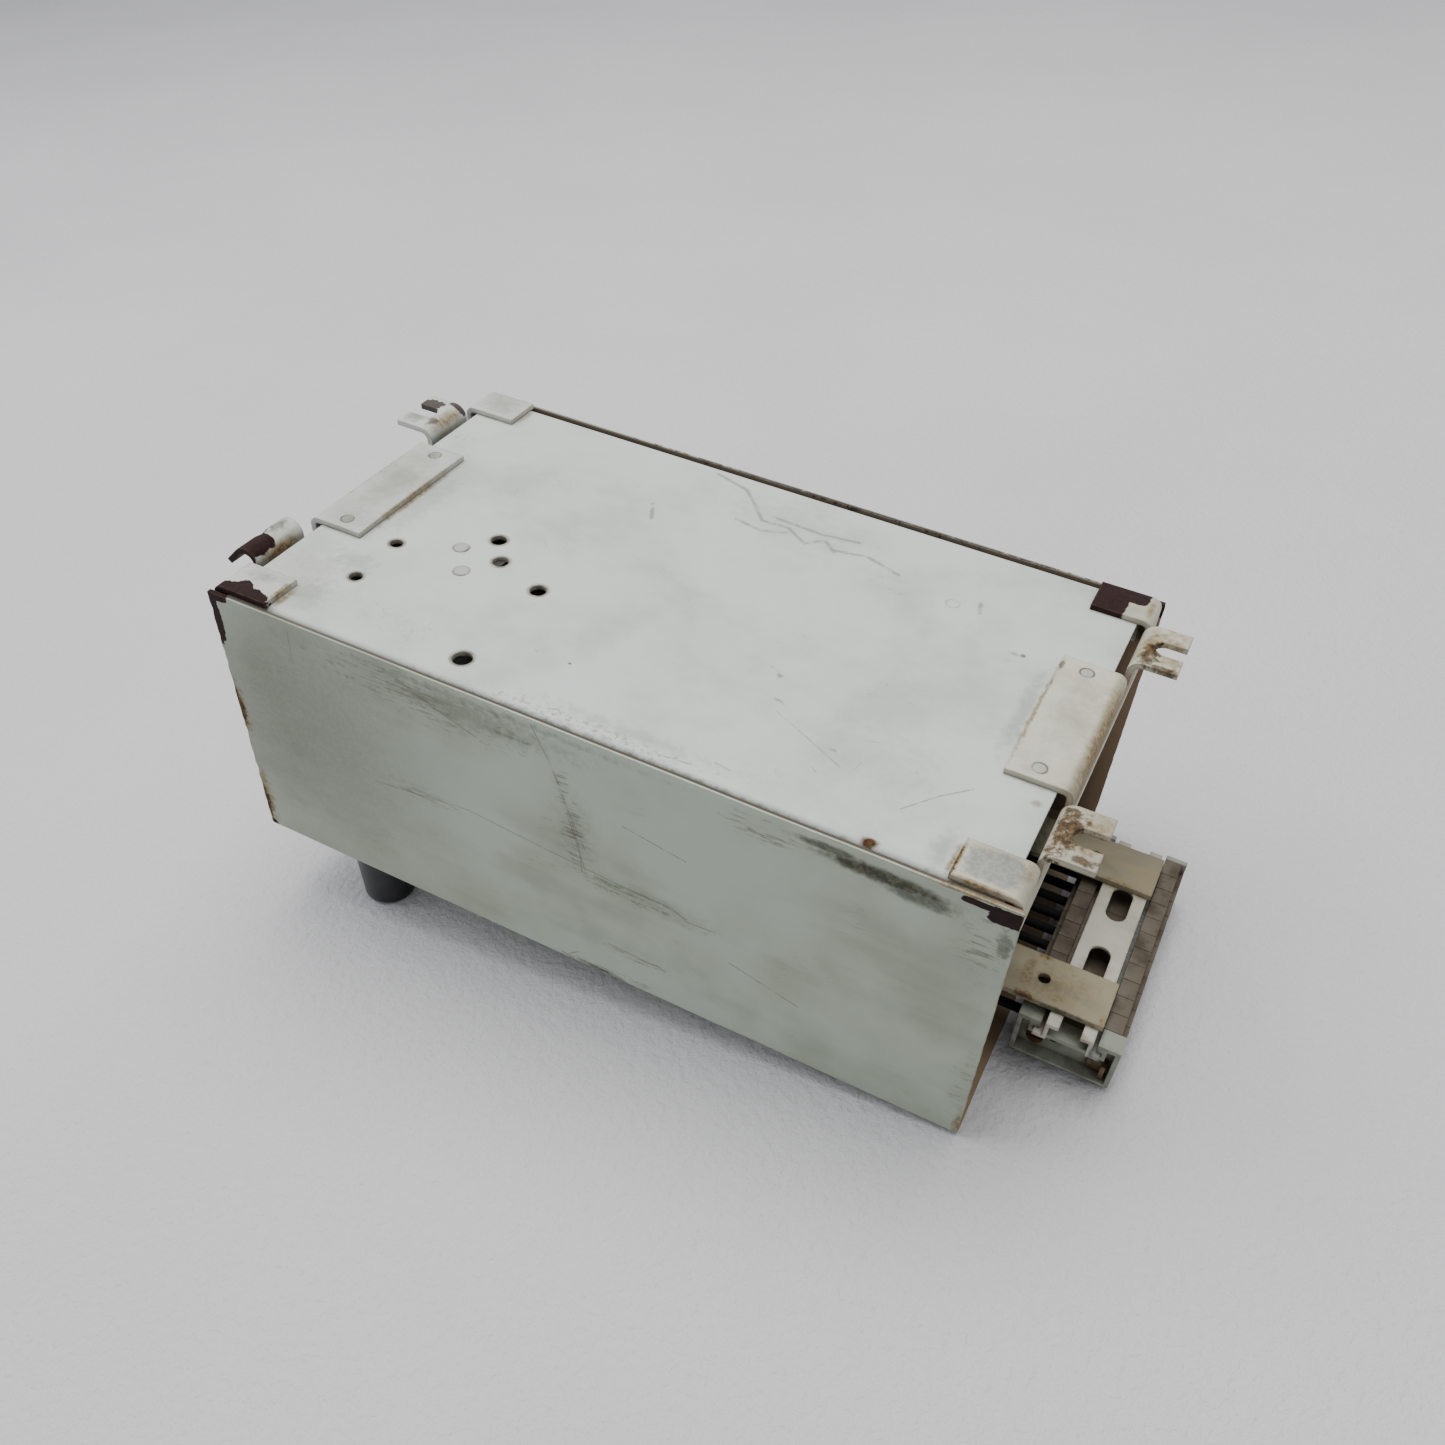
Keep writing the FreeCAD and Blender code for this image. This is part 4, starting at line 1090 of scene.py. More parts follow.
@dataclass
class Cover:
    """Folded cover with its scratches, grease and chipped edges."""

    half_length: float = 100.0
    side: float = -57.0
    top: float = -2.7
    front: float = -81.7
    wave: float = 0.16
    wave_size: float = 38.0
    fold_reach: float = 6.0
    flat_side: float = 56.5
    end_reach: float = 0.5
    rim_reach: float = 0.4
    ragged: float = 0.75
    far_end_ragged: float = 0.35

    def wear(self) -> tuple[Patch, ...]:
        """Chips, grease and stains of the cover, and one broad patch that is partly painted shade.

        The near side's rows are x, z, reach along x, reach along z, strength, raggedness
        and squareness.

        Returns:
            The patches.
        """
        near = {
            Wear.SMUDGE: [
                # The broad patch at x -78 darkens the left part of the near side: partly smears, partly
                # painted shade.
                (-30, -9, 42, 6, 0.5, 1.6), (-1, -32, 8, 16, 0.3, 1.8), (-78, -34, 56, 62, 0.6, 0.2),
                (-30, -5, 60, 1.6, 0.45, 2.6), (88, -30, 16, 30, 0.12, 1.4), (20, -46, 22, 5, 0.3, 2.0),
                (5, -80, 14, 1.6, 0.6, 2.2), (50, -80.6, 9, 1.2, 0.6, 2.2),
            ],
            Wear.FLECKS: [
                (-38, -10, 40, 8, 0.4, 2.4), (-0.5, -34, 4.5, 13, 0.6, 1.8), (-3.5, -18, 3.0, 10, 0.6, 2.0),
                (16, -46, 24, 3.4, 0.55, 2.2), (-44, -42, 18, 3, 0.4, 2.2), (6, -79, 16, 2.4, 0.8, 1.6),
                (16, -69, 12, 2, 0.6, 1.8), (94, -16, 6, 12, 0.5, 1.6), (98, -64, 3, 16, 0.35, 2.4),
                (46, -8, 14, 5, 0.5, 1.8),
            ],
            Wear.GREASE: [
                (72, -7.4, 19, 2.8, 0.95, 0.7), (80, -9.4, 10, 2.8, 0.75, 0.9),
                (60, -5.6, 10, 1.6, 0.8, 0.8), (98, -12.5, 2.2, 5, 0.5, 3.0),
            ],
            Wear.OCHRE: [
                (-99.4, -38, 2.4, 13, 0.9, 1.5), (-99.2, -70, 3.0, 15, 0.95, 1.5),
                (99.4, -76, 1.6, 8, 0.7, 1.6),
            ],
            Wear.PRIMER: [
                (-100, -9.5, 2.5, 8.6, 1.0, 0.9, 3.0), (-99, -3.2, 4.6, 1.4, 1.0, 0.6, 3.0),
                (-99.2, -80.2, 1.4, 1.8, 1.0, 0.9), (92.6, -4.3, 5.0, 0.9, 1.0, 0.5, 6.0),
                (97.6, -5.4, 4.2, 2.3, 1.0, 0.5, 6.0),
            ],
            Wear.RUST: [(-99.7, -37, 1.5, 8, 0.9, 1.8), (-99.7, -73, 1.5, 9, 0.9, 1.8)],
        }
        side = self.side
        placed = {
            kind: [((x, side, z), (length, 3, height), *look) for x, z, length, height, *look in rows]
            for kind, rows in near.items()
        }
        placed[Wear.GREASE].append(((-40, -side, -20), (30, 3, 4), 0.4, 1.8))
        placed[Wear.OCHRE].append(((90, side, -2.9), (14, 1.6, 0.6), 0.8, 1.6))
        placed[Wear.PRIMER].append(((99, -side, -4), (3.5, 3, 3), 1.0, 0.8, 3.0))
        placed[Wear.PRIMER].append(((20, -side, -2.9), (60, 1.0, 0.8), 0.7, 3.4))
        return patches(placed)

    def scratches(self) -> tuple[Scratch, ...]:
        """Scratches of the near side.

        Returns:
            The scratches.
        """
        paths = (
            ((-10.4, -4), (-6, -13.7), (-2.9, -22.7), (0.4, -36.3), (0.9, -45)),
            ((-4, -21), (-1, -29), (2, -37)), ((-2.4, -27), (1.8, -44)),
            ((-58.5, -44.5), (-30.4, -40.5), (-11, -42.4), (11, -44.2), (24.6, -44.4)),
            ((24.6, -44.4), (29, -47), (36, -46.4)), ((7.4, -67.7), (23.6, -68.8)),
            ((-76.8, -5.2), (-77.4, -14.9)), ((-49.8, -5), (-36, -11), (-24.3, -15.3)),
            ((12, -24), (28, -27)), ((-5, -79.6), (-1, -76)), ((40, -55), (58, -60)),
        )
        return tuple(Scratch(tuple((x, self.side, z) for x, z in path), 0.34, 0.5) for path in paths)

    def worn_shape(self, point: Vector) -> Vector:
        """Moves one point of the cover: shallow waves, and ragged ends and edges.

        Args:
            point: Where it was, in millimetres.

        Returns:
            Where it is.
        """
        x, y, z = point
        inside = min(1.0, (abs(z - self.front)) / self.fold_reach)
        wave = self.wave * ripple(Vector((x, 0, z)), self.wave_size, 2.0) * inside
        y += math.copysign(min(0.0, wave) if abs(y) > self.flat_side else wave, y)
        if abs(x) > self.half_length - self.end_reach:
            bite = max(0.0, ripple(Vector((0, y * 0.2, z)), 2.6, 5.0) + 0.1) * self.ragged
            x -= math.copysign(bite * (1.0 if x < 0 else self.far_end_ragged), x)
        if z > self.top - self.rim_reach:
            z -= self.wave * max(0.0, ripple(Vector((x, y, 0)), 9.0, 8.0))
        return Vector((x, y, z))

    def build(self) -> None:
        """Builds the cover and dresses what is fixed to it."""
        # The cover's paint is set darker than the back plate's, painting the shade of the near side.
        paint = PaintFinish(
            "cover_paint_shaded", (172, 182, 167), (160, 168, 150), grime=0.24, crevice=0.3,
            inside=((0, 0, -0.5), (101.5, 56.6, 80.9)),
            patches=self.wear(), scratches=self.scratches(),
        ).build()
        sheet = WorkedPiece("cover")
        sheet.cut(0, every(-self.half_length, self.half_length, 9.0))
        sheet.cut(2, every(self.front, self.top, 1.6))
        sheet.cut(1, every(self.side, -self.side, 9.5))
        sheet.move(self.worn_shape)
        sheet.finish("cover_sheet", paint, "case_paint", 0.22)
        zinc = MetalFinish("zinc_plate", (176, 176, 170), (112, 104, 90)).build()
        dress(("cover_screws", "potentiometer_nuts"), zinc)
        pots = MetalFinish("potentiometer_cans", (162, 164, 164), (104, 100, 92), 0.42).build()
        dress(("near_potentiometer", "far_potentiometer"), pots)


@dataclass
class Chassis:
    """Back plate, end panels and their rivets."""

    flange_rivets: tuple[tuple[float, float], ...] = (
        (90.5, 18.0), (90.5, -18.0), (-90.5, 18.0), (-90.5, -18.0),
    )
    holes: tuple[tuple[float, float, float], ...] = (
        (-75.1, -18.7, 1.65), (-74.7, -34.7, 1.65), (-54.5, -4.5, 2.05), (-48.9, -12.0, 2.05),
        (-34.5, -17.3, 2.1), (-34.8, -47.3, 2.4),
    )
    plate_rivets: tuple[tuple[float, float], ...] = ((-60.6, -11.9), (-54.8, -20.0))
    top: float = -2.7
    flange_top: float = -1.2
    fold_bottom: float = -5.0
    plate_sink: float = 0.16
    foot_root: float = -101.4
    foot_middle: float = -0.75
    foot_fold: float = 2.6
    foot_angle: float = math.radians(46)

    def plate_wear(self) -> tuple[Patch, ...]:
        """Stains and smudges of the back plate, whose rows are x, y, reach, strength and raggedness.

        Returns:
            The patches.
        """
        flat = {
            Wear.SMUDGE: [
                (50.2, -33.1, 1.5, 0.9, 1, 0.6, 1.2), (29.4, -16.6, 1.2, 1.0, 1, 0.7, 1.6),
                (33, -24.4, 1.8, 0.8, 1, 0.6, 1.8), (73.4, 18.2, 2.0, 1.0, 1, 0.55, 1.4),
                (81.5, 0, 3.0, 21, 2, 0.4, 1.5), (-80, 0, 5, 22, 2, 0.25, 1.6),
                (80.5, -48, 4, 8, 2, 0.4, 1.3), (-79, -46, 7, 8, 2, 0.3, 1.4),
                (15, -55.2, 80, 0.8, 2, 0.6, 3.0), (-20, 55, 70, 0.7, 2, 0.4, 2.6),
                (6, 42, 24, 10, 2, 0.16, 2.2), (58, -30, 20, 14, 2, 0.14, 2.2),
                (10, -50, 30, 3, 2, 0.25, 2.6), (-78, -30, 8, 5, 2, 0.3, 2.2),
            ],
            Wear.FLECKS: [(0, -53, 34, 2.6, 2, 0.4, 2.4)],
            Wear.GREASE: [(75.3, 18.6, 1.0, 0.9, 1, 0.8, 1.2), (-13.3, -36.7, 0.6, 0.5, 1, 0.8, 0.8)],
            Wear.OCHRE: [
                (67, -54, 2.8, 2.0, 2, 0.7, 1.2), (93, -27, 1.8, 1.4, 1, 0.55, 1.4),
                (83.7, 0, 0.6, 21, 2, 0.7, 2.2), (-83.4, 0, 1.0, 22, 2, 0.75, 1.4),
                (83.2, -50, 1.0, 6, 2, 0.85, 1.6), (-83, -50, 1.4, 6.5, 2, 0.8, 1.2),
                (-83.2, 50, 1.2, 6, 2, 0.55, 1.4), (-86, -40, 12, 12, 2, 0.22, 1.6),
            ],
            Wear.RUST: [(67, -54.1, 2.0, 1.5, 2, 1.0, 1.0)],
        }
        z = self.top
        placed = {
            kind: [((x, y, z), tuple(reach), strength, ragged) for x, y, *reach, strength, ragged in rows]
            for kind, rows in flat.items()
        }
        for x, y, radius in self.holes:
            placed[Wear.SMUDGE].append(((x, y, z), (radius + 1.6, radius + 1.6, 2), 0.5, 0.9))
            placed[Wear.OCHRE].append(((x, y, z), (radius + 1.0, radius + 1.0, 2), 0.85, 1.0))
        return patches(placed)

    def plate_scratches(self) -> tuple[Scratch, ...]:
        """Scratches of the back plate.

        Returns:
            The scratches.
        """
        z = self.top
        bold = (
            ((34.2, -27.9), (42, -31.6), (47, -34), (53.3, -37.2)),
            ((68.9, -42.4), (74.5, -35), (80.2, -29.4)),
            ((53.5, -27.1), (57.5, -26)), ((56, -37.1), (56.7, -33.9)),
            ((26.3, -14.7), (28, -14.9), (29.7, -17.2)), ((31.5, -23.5), (34.5, -25)),
            ((55, -14), (57.2, -14.5)), ((48, -40), (49.5, -41)), ((17, -53), (26, -52)),
            ((30, -49), (34, -49.6)),
        )
        faint = (
            ((-22, 52), (-12, 49), (-6, 43)), ((-7, 44), (-2, 38), (6, 38.4)),
            ((-8, 35), (0, 33.6), (6, 36)),
            ((6, 38), (12, 34), (16, 38), (20, 34.5)), ((20, 35), (28, 37), (38, 33.6)),
            ((0, 41), (14, 40), (24, 41.5)), ((-30, 30), (-27, 24)), ((60, 33), (61, 29)),
        )
        made = [Scratch(tuple((x, y, z) for x, y in path), 0.3, 0.6) for path in bold]
        made += [Scratch(tuple((x, y, z) for x, y in path), 0.95, 0.5) for path in faint]
        return tuple(made)

    def left_wear(self) -> tuple[Patch, ...]:
        """Chips and stains of the left end panel.

        Returns:
            The patches.
        """
        z = self.flange_top
        return patches({
            Wear.SMUDGE: [
                ((-102.0, -30.4, -1.4), (3.4, 5, 3), 0.9, 1.4), ((-106, 31, 0), (4, 5, 2), 0.7, 1.6),
                ((-91, 0, z), (8, 20, 1), 0.3, 2.0), ((-91, -47, z), (8, 4, 1), 0.45, 2.0),
                ((-91, 50, z), (8, 6, 1), 0.4, 2.0),
            ],
            Wear.GREASE: [((-101.4, -30.0, -0.4), (1.6, 5, 2), 0.5, 2.4)],
            Wear.OCHRE: [
                ((-97.9, -34.3, -3.4), (1.5, 9.6, 3.4), 0.95, 0.4, 5.0),
                ((-84.2, -50, z), (1.0, 6.5, 2), 0.9, 1.3), ((-84.1, 0, z), (0.6, 22, 2), 0.8, 1.8),
                ((-98.5, 0, z), (1.2, 22, 2), 0.6, 1.8), ((-100, -34.3, -3), (1.6, 9, 4), 0.75, 0.8),
                ((-99.6, 34.3, -2.2), (2.6, 9.6, 4), 0.95, 0.8, 3.0),
            ],
            Wear.PRIMER: [
                ((-91.4, -55.6, z), (8.0, 3.2, 4), 1.0, 1.1, 5.0),
                ((-92.8, -52.8, z), (3.4, 2.6, 3), 1.0, 1.0, 1.2),
                ((-104.5, -39.6, -2.0), (6.4, 5.2, 7), 1.0, 0.25, 8.0),
                ((-104.4, -29.6, -1.2), (0.6, 4.6, 2.4), 0.9, 1.0),
                ((-106.5, 37.5, 0), (3.4, 3.6, 2), 0.9, 1.2, 3.0),
                ((-100.4, 41.5, -1.5), (3.0, 1.2, 3), 0.9, 1.0),
            ],
            Wear.RUST: [((-101, 31, -0.8), (1.8, 3, 2), 0.7, 1.8)],
        })

    def right_wear(self) -> tuple[Patch, ...]:
        """Chips and stains of the right end panel.

        Returns:
            The patches.
        """
        z = self.flange_top
        return patches({
            Wear.SMUDGE: [((92, 0, z), (7, 18, 1), 0.25, 2.2)],
            Wear.GREASE: [((105, -34.3, -1.5), (6, 9, 0.8), 0.5, 2.0)],
            Wear.OCHRE: [
                ((84.3, -50, z), (0.7, 6.5, 2), 0.9, 1.4), ((91, -55.2, -1.6), (9, 0.9, 2), 0.85, 1.4),
                ((97.5, -47.5, -1.6), (2.4, 4, 2), 0.6, 1.4), ((97.4, 50, -1.5), (1.3, 6, 2), 0.8, 1.2),
                ((84.2, 2, z), (0.6, 20, 2), 0.75, 2.4), ((99.6, 0, -5), (3.4, 34, 11), 0.9, 0.4, 4.0),
                ((100, 0, -8), (2.6, 60, 7.2), 0.9, 0.5, 6.0),
                ((101.2, -34.3, -1), (4.2, 9.6, 3.4), 0.95, 1.5), ((106, -34.3, 0), (5.4, 10, 3), 0.7, 2.8),
                ((101.2, 34.3, -1), (4.0, 9.6, 3.4), 0.95, 1.4), ((106, 34.3, 0), (5.4, 10, 3), 0.7, 2.8),
                ((107, 27, 0), (3, 1.4, 2), 0.8, 1.8),
            ],
            Wear.BARE: [((91.4, -49.6, z), (6.6, 4.8, 2), 0.8, 0.7, 4.0)],
            Wear.PRIMER: [
                ((87.2, 50, z), (5.0, 6.6, 3), 1.0, 0.25, 8.0),
                ((91.5, 54.2, z), (5.2, 4.2, 3), 1.0, 0.3, 4.0),
            ],
            Wear.RUST: [
                ((84.0, -51, z), (0.5, 5, 2), 0.8, 2.6), ((84.4, 18, z), (0.7, 3.4, 1), 0.7, 2.4),
                ((101.4, -34.3, -0.6), (3.8, 9, 3), 0.8, 3.0), ((102.6, -32.4, 0), (1.8, 3.0, 2), 0.8, 1.8),
                ((106, -40.6, 0), (4.5, 1.6, 2), 0.7, 2.8), ((102.8, 34, 0), (2.2, 3.4, 2), 1.0, 1.6),
                ((101.6, 30, -0.6), (3.0, 5, 2), 0.8, 3.0), ((106, 27, -0.4), (4.5, 1.6, 2), 0.75, 2.6),
            ],
        })

    def plate_shape(self, point: Vector) -> Vector:
        """Sinks the back plate a little between its folds.

        Args:
            point: Where it was, in millimetres.

        Returns:
            Where it is.
        """
        x, y, z = point
        if z > self.fold_bottom:
            inside = min(1.0, (82.0 - abs(x)) / 14.0, (54.0 - abs(y)) / 10.0)
            z -= max(0.0, inside) * self.plate_sink * (1.0 + ripple(Vector((x, y, 0)), 46.0, 3.0))
        return Vector((x, y, z))

    def bent_foot(self, point: Vector) -> Vector:
        """Bends the near left foot down past its root.

        Args:
            point: Where it was, in millimetres.

        Returns:
            Where it is.
        """
        x, y, z = point
        run = self.foot_root - x
        if run <= 0 or y > 0:
            return point
        folded = min(run, self.foot_fold)
        turn = self.foot_angle * folded / self.foot_fold
        radius = self.foot_fold / self.foot_angle
        along = radius * math.sin(turn) + (run - folded) * math.cos(turn)
        drop = radius * (1 - math.cos(turn)) + (run - folded) * math.sin(turn)
        lift = z - self.foot_middle
        return Vector((self.foot_root - along - lift * math.sin(turn), y,
                       self.foot_middle - drop + lift * math.cos(turn)))

    def build(self) -> None:
        """Builds the plate, the panels and the rivets."""
        rings = tuple(Ring((x, y, self.flange_top), 1.65, 0.45, 0.75) for x, y in self.flange_rivets)
        spare = tuple(Ring((x, y, self.top), 2.0, 0.5, 0.55) for x, y in self.plate_rivets)
        faint = (Ring((54, 29.5, self.top), 1.7, 0.5, 0.35),)
        rims = tuple(Ring((x, y, self.top), radius + 0.2, 0.8, 0.8) for x, y, radius in self.holes)
        plate_paint = PaintFinish(
            "plate_paint", (200, 204, 199), (192, 197, 191), grime=0.19, crevice=0.35,
            streak=(0.5, 0.6, 1.0), patches=self.plate_wear(), scratches=self.plate_scratches(),
            rings=spare + faint + rims,
        ).build()
        plate = WorkedPiece("back_plate")
        plate.cut(0, every(-95, 95, 7.0))
        plate.cut(1, every(-54, 54, 7.0))
        plate.move(self.plate_shape)
        plate.finish("back_plate_sheet", plate_paint, "case_paint", 0.15)

        left_paint = PaintFinish(
            "left_panel_paint", (195, 197, 189), (187, 188, 179), grime=0.26, edge_reach=0.8,
            streak=(0.3, 1.0, 1.0), patches=self.left_wear(), rings=rings,
        ).build()
        left = WorkedPiece("left_end_panel")
        left.cut(0, [self.foot_root - 0.4 * index for index in range(8)])
        left.cut(2, every(-80, -6, 8.0))
        left.move(self.bent_foot)
        left.finish("left_end_panel_sheet", left_paint, "case_paint", 0.2)

        right_paint = PaintFinish(
            "right_panel_paint", (197, 195, 178), (179, 172, 150), grime=0.45, edge_reach=0.8,
            streak=(0.4, 1.0, 1.0), patches=self.right_wear(), rings=rings,
        ).build()
        WorkedPiece("right_end_panel").finish("right_end_panel_sheet", right_paint, "case_paint", 0.2)
        rivet_paint = PaintFinish(
            "rivet_paint", (176, 177, 170), (158, 155, 144), grime=0.7, edge=0.9, streak=(1.0, 1.0, 1.0),
            rings=rings + spare,
        ).build()
        for node in ("flange_rivets", "plate_rivets"):
            WorkedPiece(node).finish(node + "_turned", rivet_paint, "rivet_paint", 0.16)


@dataclass
class TerminalEnd:
    """Bulkhead, arms, rail and the terminal row."""

    arm_top: float = -59.7
    blocks: int = 11

    def wear(self) -> tuple[Patch, ...]:
        """Stains of the arms and the rail, and painted shade on the bulkhead and the arms inside the case.

        Returns:
            The patches.
        """
        z = self.arm_top
        return patches({
            Wear.SMUDGE: [((105.4, -21.5, z), (2.6, 2.4, 2), 0.5, 1.2)],
            Wear.GREASE: [
                # The two broad rows darken the bulkhead and the arms inside the case: painted shade of the
                # dark bay, not grease.
                ((72, 0, -40), (6, 60, 42), 0.85, 0.4), ((84, 0, -50), (12.5, 60, 50), 0.9, 0.3, 6.0),
                ((112, -28.6, z - 0.8), (10, 0.8, 1.2), 0.7, 2.4),
            ],
            Wear.OCHRE: [
                ((104, -15.2, z), (3.2, 1.8, 2), 0.9, 1.4), ((103, -28, z), (4.5, 1.6, 2), 0.85, 1.8),
                ((109.5, -26, z), (3.0, 1.4, 2), 0.6, 1.8), ((121, -27, z), (1.4, 2.2, 2), 0.6, 1.8),
                ((112, 16.8, z), (8, 1.0, 2), 0.6, 2.0), ((115, 14, -61.2), (4, 3, 1.5), 0.6, 1.8),
                ((115, -11, -61.2), (5, 3.4, 1.5), 0.4, 2.0), ((108, -21.5, z), (12, 8, 1), 0.35, 1.8),
                ((101.5, -21.5, z), (2.4, 8, 2), 0.6, 1.2), ((117.6, -33, -62), (5, 3, 3), 0.5, 1.8),
            ],
            Wear.BARE: [((122.6, 0, -65.6), (2.6, 60, 3.2), 0.95, 0.4, 6.0)],
            Wear.RUST: [((102.5, -28.3, z), (2.6, 0.7, 2), 0.7, 2.4)],
        })

    def build(self) -> None:
        """Builds the end's pieces."""
        arms = PaintFinish(
            "arm_paint", (160, 151, 124), (142, 130, 102), grime=0.5, edge=0.9, edge_reach=0.8,
            crevice=0.9, streak=(0.3, 1.0, 1.0), patches=self.wear(),
        )
        rail = replace(arms, name="rail_paint", colour=(202, 198, 184), second=(184, 176, 156), grime=0.35)
        for node, paint in (("bulkhead", arms), ("terminal_rail", rail)):
            WorkedPiece(node).finish(node + "_folded", paint.build(), "bracket_paint", 0.14)
        grey = MouldedFinish("terminal_grey", (92, 82, 66), (60, 48, 35), 0.55, 0.8, 0.9).build()
        for index in range(self.blocks):
            node = f"terminal_block_{index + 1:02d}"
            WorkedPiece(node).finish(node + "_moulded", grey, "terminal_plastic", 0.1)
        pale = MouldedFinish("clamp_grey", (142, 146, 132), (76, 66, 50), 0.5, 0.6, 1.0).build()
        for node in ("end_clamp", "terminal_end_plate"):
            WorkedPiece(node).finish(node + "_moulded", pale, "terminal_plastic", 0.2)
        zinc = MetalFinish("clamp_zinc", (132, 118, 94), (80, 60, 40), 0.5, 0.9).build()
        dress(("terminal_screws",), zinc)
        WorkedPiece("end_clamp_clip").finish("end_clamp_clip_folded", zinc, "zinc_steel", 0.12)
        brass = MetalFinish("tarnished_brass", (96, 70, 42), (44, 28, 19), 0.55, 0.9).build()
        WorkedPiece("end_clamp_screw").finish("end_clamp_screw_slotted", brass, "brass_screw", 0.12)
        jacket = MouldedFinish("wire_jacket", (9, 9, 9), (26, 24, 21), 0.8, 0.3).build()
        dress(("loom_wires", "transformer_leads"), jacket)


@dataclass
class Knobs:
    """Both control knobs with their shafts and screws."""

    sides: tuple[str, ...] = ("near", "far")

    def build(self) -> None:
        """Dresses the knobs."""
        black = MouldedFinish("knob_black", (24, 24, 27), (96, 94, 90), rough=0.32, dirt=0.12,
                              crevice=0.3, grain=3200.0, relief=0.012).build()
        shaft = MetalFinish("shaft_steel", (168, 168, 164), (110, 104, 92), 0.3).build()
        for side in self.sides:
            dress((side + "_knob",), black)
            dress((side + "_knob_shaft", side + "_knob_screw"), shaft)


@dataclass
class Electronics:
    """Transformer, board and what is on it."""

    moulded: dict[str, tuple[tuple[str, ...], str, MouldedFinish]] = field(default_factory=lambda: {
        "relay": (("opening_relay", "closing_relay", "lamp_relay"), "relay_plastic",
                  MouldedFinish("relay_blue", (38, 62, 104), (110, 106, 96), 0.36)),
        "black": (("controller_chip", "regulator", "learn_button_case", "learn_button_cap", "rectifier"),
                  "black_plastic", MouldedFinish("component_black", (28, 28, 30), (92, 88, 80), 0.5)),
        "header": (("wire_header", "fuse_holder"), "header_plastic",
                   MouldedFinish("header_white", (206, 202, 186), (150, 134, 108), 0.45)),
        "sleeve": (("main_capacitor", "small_capacitors"), "capacitor_sleeve",
                   MouldedFinish("capacitor_sleeve", (30, 36, 60), (128, 122, 108), 0.3)),
        "bobbin": (("transformer_bobbin",), "bobbin_plastic",
                   MouldedFinish("bobbin_cream", (204, 196, 172), (140, 120, 90), 0.5)),
    })

    def build(self) -> None:
        """Dresses the pieces inside the case."""
        for nodes, slot, finish in self.moulded.values():
            dress(nodes, finish.build())
        board = BandedFinish("board_mask", (34, 84, 48), (70, 128, 74), 2.54, 1, 0.34, 0.0, 1.27)
        dress(("circuit_board", "receiver_module"), board.build())
        core = BandedFinish("core_laminations", (92, 84, 78), (44, 38, 34), 0.5, 1, 0.45, 0.6)
        dress(("transformer_core",), core.build())
        tape = BandedFinish("winding_tape", (206, 168, 66), (150, 112, 36), 6.0, 2, 0.3)
        dress(("transformer_winding",), tape.build())
        zinc = MetalFinish("inner_zinc", (172, 172, 168), (108, 102, 90), 0.36).build()
        dress(("board_studs", "transformer_studs", "stud_nuts", "transformer_strap"), zinc)
        satin = MetalFinish("satin_aluminium", (200, 202, 204), (140, 138, 132), 0.4, 0.25, (1.0, 1.0, 0.06))
        dress(("heat_sink",), satin.build())
        coil = BandedFinish("coil_copper", (186, 118, 70), (96, 54, 30), 0.7, 2, 0.3, 0.9)
        dress(("aerial_coil",), coil.build())
        low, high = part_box("fuse")
        cap = 5.0 * MM
        fuse = GlassFinish("fuse_glass", ((low.x - MM, low.x + cap), (high.x - cap, high.x + MM)))
        dress(("fuse",), fuse.build())


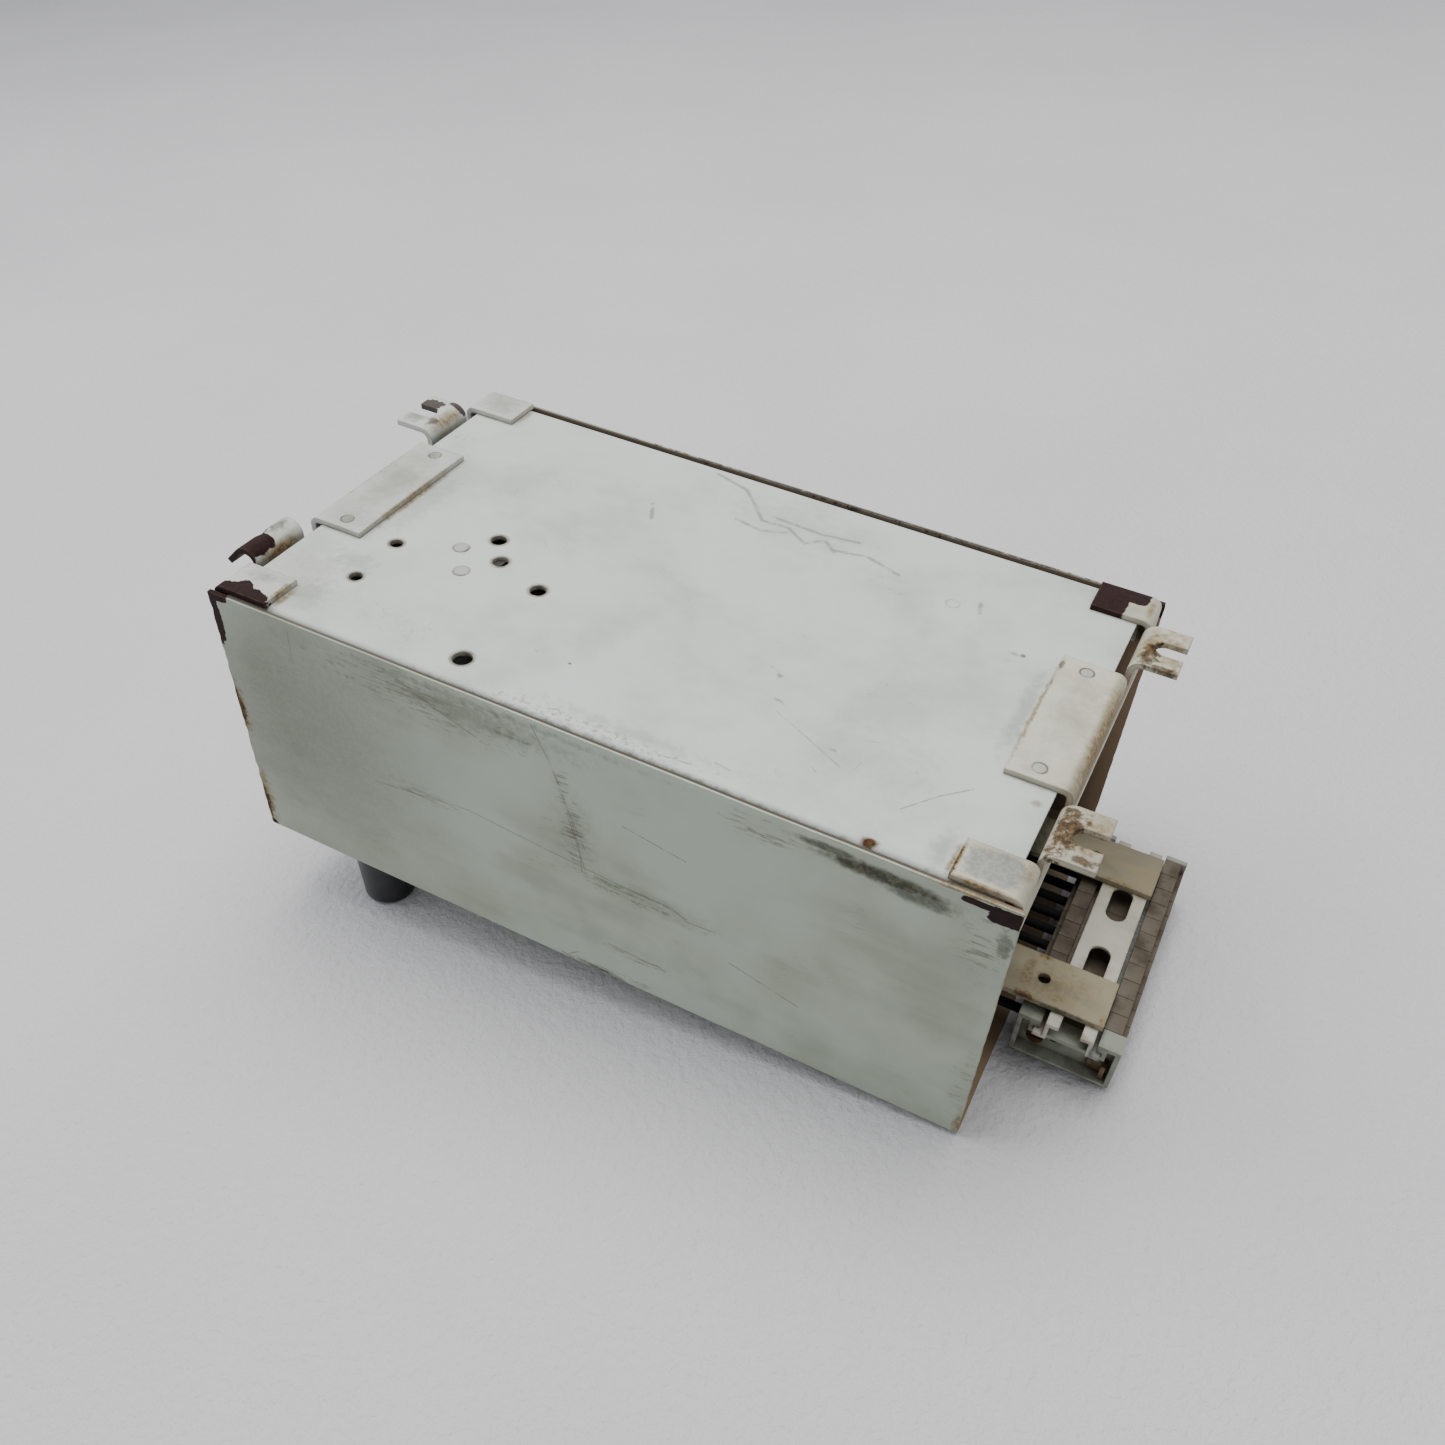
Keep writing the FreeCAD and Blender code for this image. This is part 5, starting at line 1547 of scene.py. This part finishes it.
@dataclass
class Studio:
    """Floor, lights and camera."""

    spot: Point = (115.17, -224.97, 183.0)
    turn: Point = (46.456, -2.952, 26.821)
    lens: float = 32.28
    shift: tuple[float, float] = (-0.01535, 0.02787)
    floor_size: float = 3.2
    knob_rounding: float = 1.6
    floor_gap: float = 0.05

    def camera(self) -> None:
        """Makes the camera."""
        data = bpy.data.cameras.new("camera")
        data.sensor_width = 36.0
        data.lens = self.lens
        data.shift_x, data.shift_y = self.shift
        data.clip_start, data.clip_end = 0.01, 30.0
        camera = bpy.data.objects.new("camera", data)
        camera.location = metres(self.spot)
        camera.rotation_euler = Euler([math.radians(angle) for angle in self.turn], "XYZ")
        bpy.context.scene.collection.objects.link(camera)
        bpy.context.scene.camera = camera

    def floor_material(self) -> bpy.types.Material:
        """Pale soft sheet that the box lies on.

        Returns:
            The material.
        """
        material, graph, shader = principled("floor_sheet")
        place = graph.place()
        cloud = graph.noise(place, 5.0, 4.0, 0.6)
        cells = graph.noise(place, 420.0, 3.0, 0.6)
        colour = graph.mix(cloud, linear(196, 194, 197), linear(214, 212, 214))
        graph.put(shader.inputs["Base Color"], colour)
        graph.put(shader.inputs["Roughness"], graph.span(cells, 0.5, 0.8))
        raise_surface(graph, shader, cells, 0.9)
        return material

    def floor(self) -> None:
        """Makes the floor under the knobs and the cover's right edge."""
        knob_low, knob_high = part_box("near_knob")
        cover_low, cover_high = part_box("cover")
        foot = Vector((knob_high.x - self.knob_rounding * MM, 0, knob_low.z))
        heel = Vector((cover_high.x, 0, cover_low.z))
        slope = (heel.z - foot.z) / (heel.x - foot.x)
        half = self.floor_size / 2
        sheet = bmesh.new()
        corners = [sheet.verts.new((x, y, heel.z + (x - heel.x) * slope - self.floor_gap * MM))
                   for x, y in ((-half, -half), (half, -half), (half, half), (-half, half))]
        sheet.faces.new(corners)
        data = bpy.data.meshes.new("floor")
        sheet.to_mesh(data)
        sheet.free()
        data.materials.append(self.floor_material())
        floor = bpy.data.objects.new("floor", data)
        bpy.context.scene.collection.objects.link(floor)

    def lamp(self, name: str, spot: Point, size: float, power: float, tint: Colour) -> None:
        """Hangs a soft lamp that faces the box.

        Args:
            name: Its name.
            spot: Where it hangs, in metres.
            size: Side of its square face in metres.
            power: Its power in watts.
            tint: Its colour.
        """
        data = bpy.data.lights.new(name, "AREA")
        data.size = size
        data.energy = power
        data.color = tint
        lamp = bpy.data.objects.new(name, data)
        lamp.location = spot
        lamp.rotation_euler = (-Vector(spot)).to_track_quat("-Z", "Y").to_euler()
        bpy.context.scene.collection.objects.link(lamp)

    def light(self) -> None:
        """Lights the studio from above and behind."""
        world = bpy.data.worlds.new("studio")
        world.use_nodes = True
        world.node_tree.nodes["Background"].inputs["Color"].default_value = (0.86, 0.89, 0.93, 1.0)
        world.node_tree.nodes["Background"].inputs["Strength"].default_value = 0.62
        bpy.context.scene.world = world
        self.lamp("overhead", (-0.15, 0.3, 1.45), 1.2, 26.0, (1.0, 0.99, 0.97))
        self.lamp("window", (-1.2, -0.2, 0.9), 1.0, 9.0, (0.94, 0.97, 1.0))


def main() -> None:
    """Builds every sub-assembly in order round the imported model."""
    logging.basicConfig(level=logging.INFO, format="%(name)s: %(message)s")
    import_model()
    studio = Studio()
    studio.camera()
    for assembly in (Cover(), Chassis(), TerminalEnd(), Knobs(), Electronics()):
        assembly.build()
    studio.floor()
    studio.light()


if __name__ == "__main__":
    main()
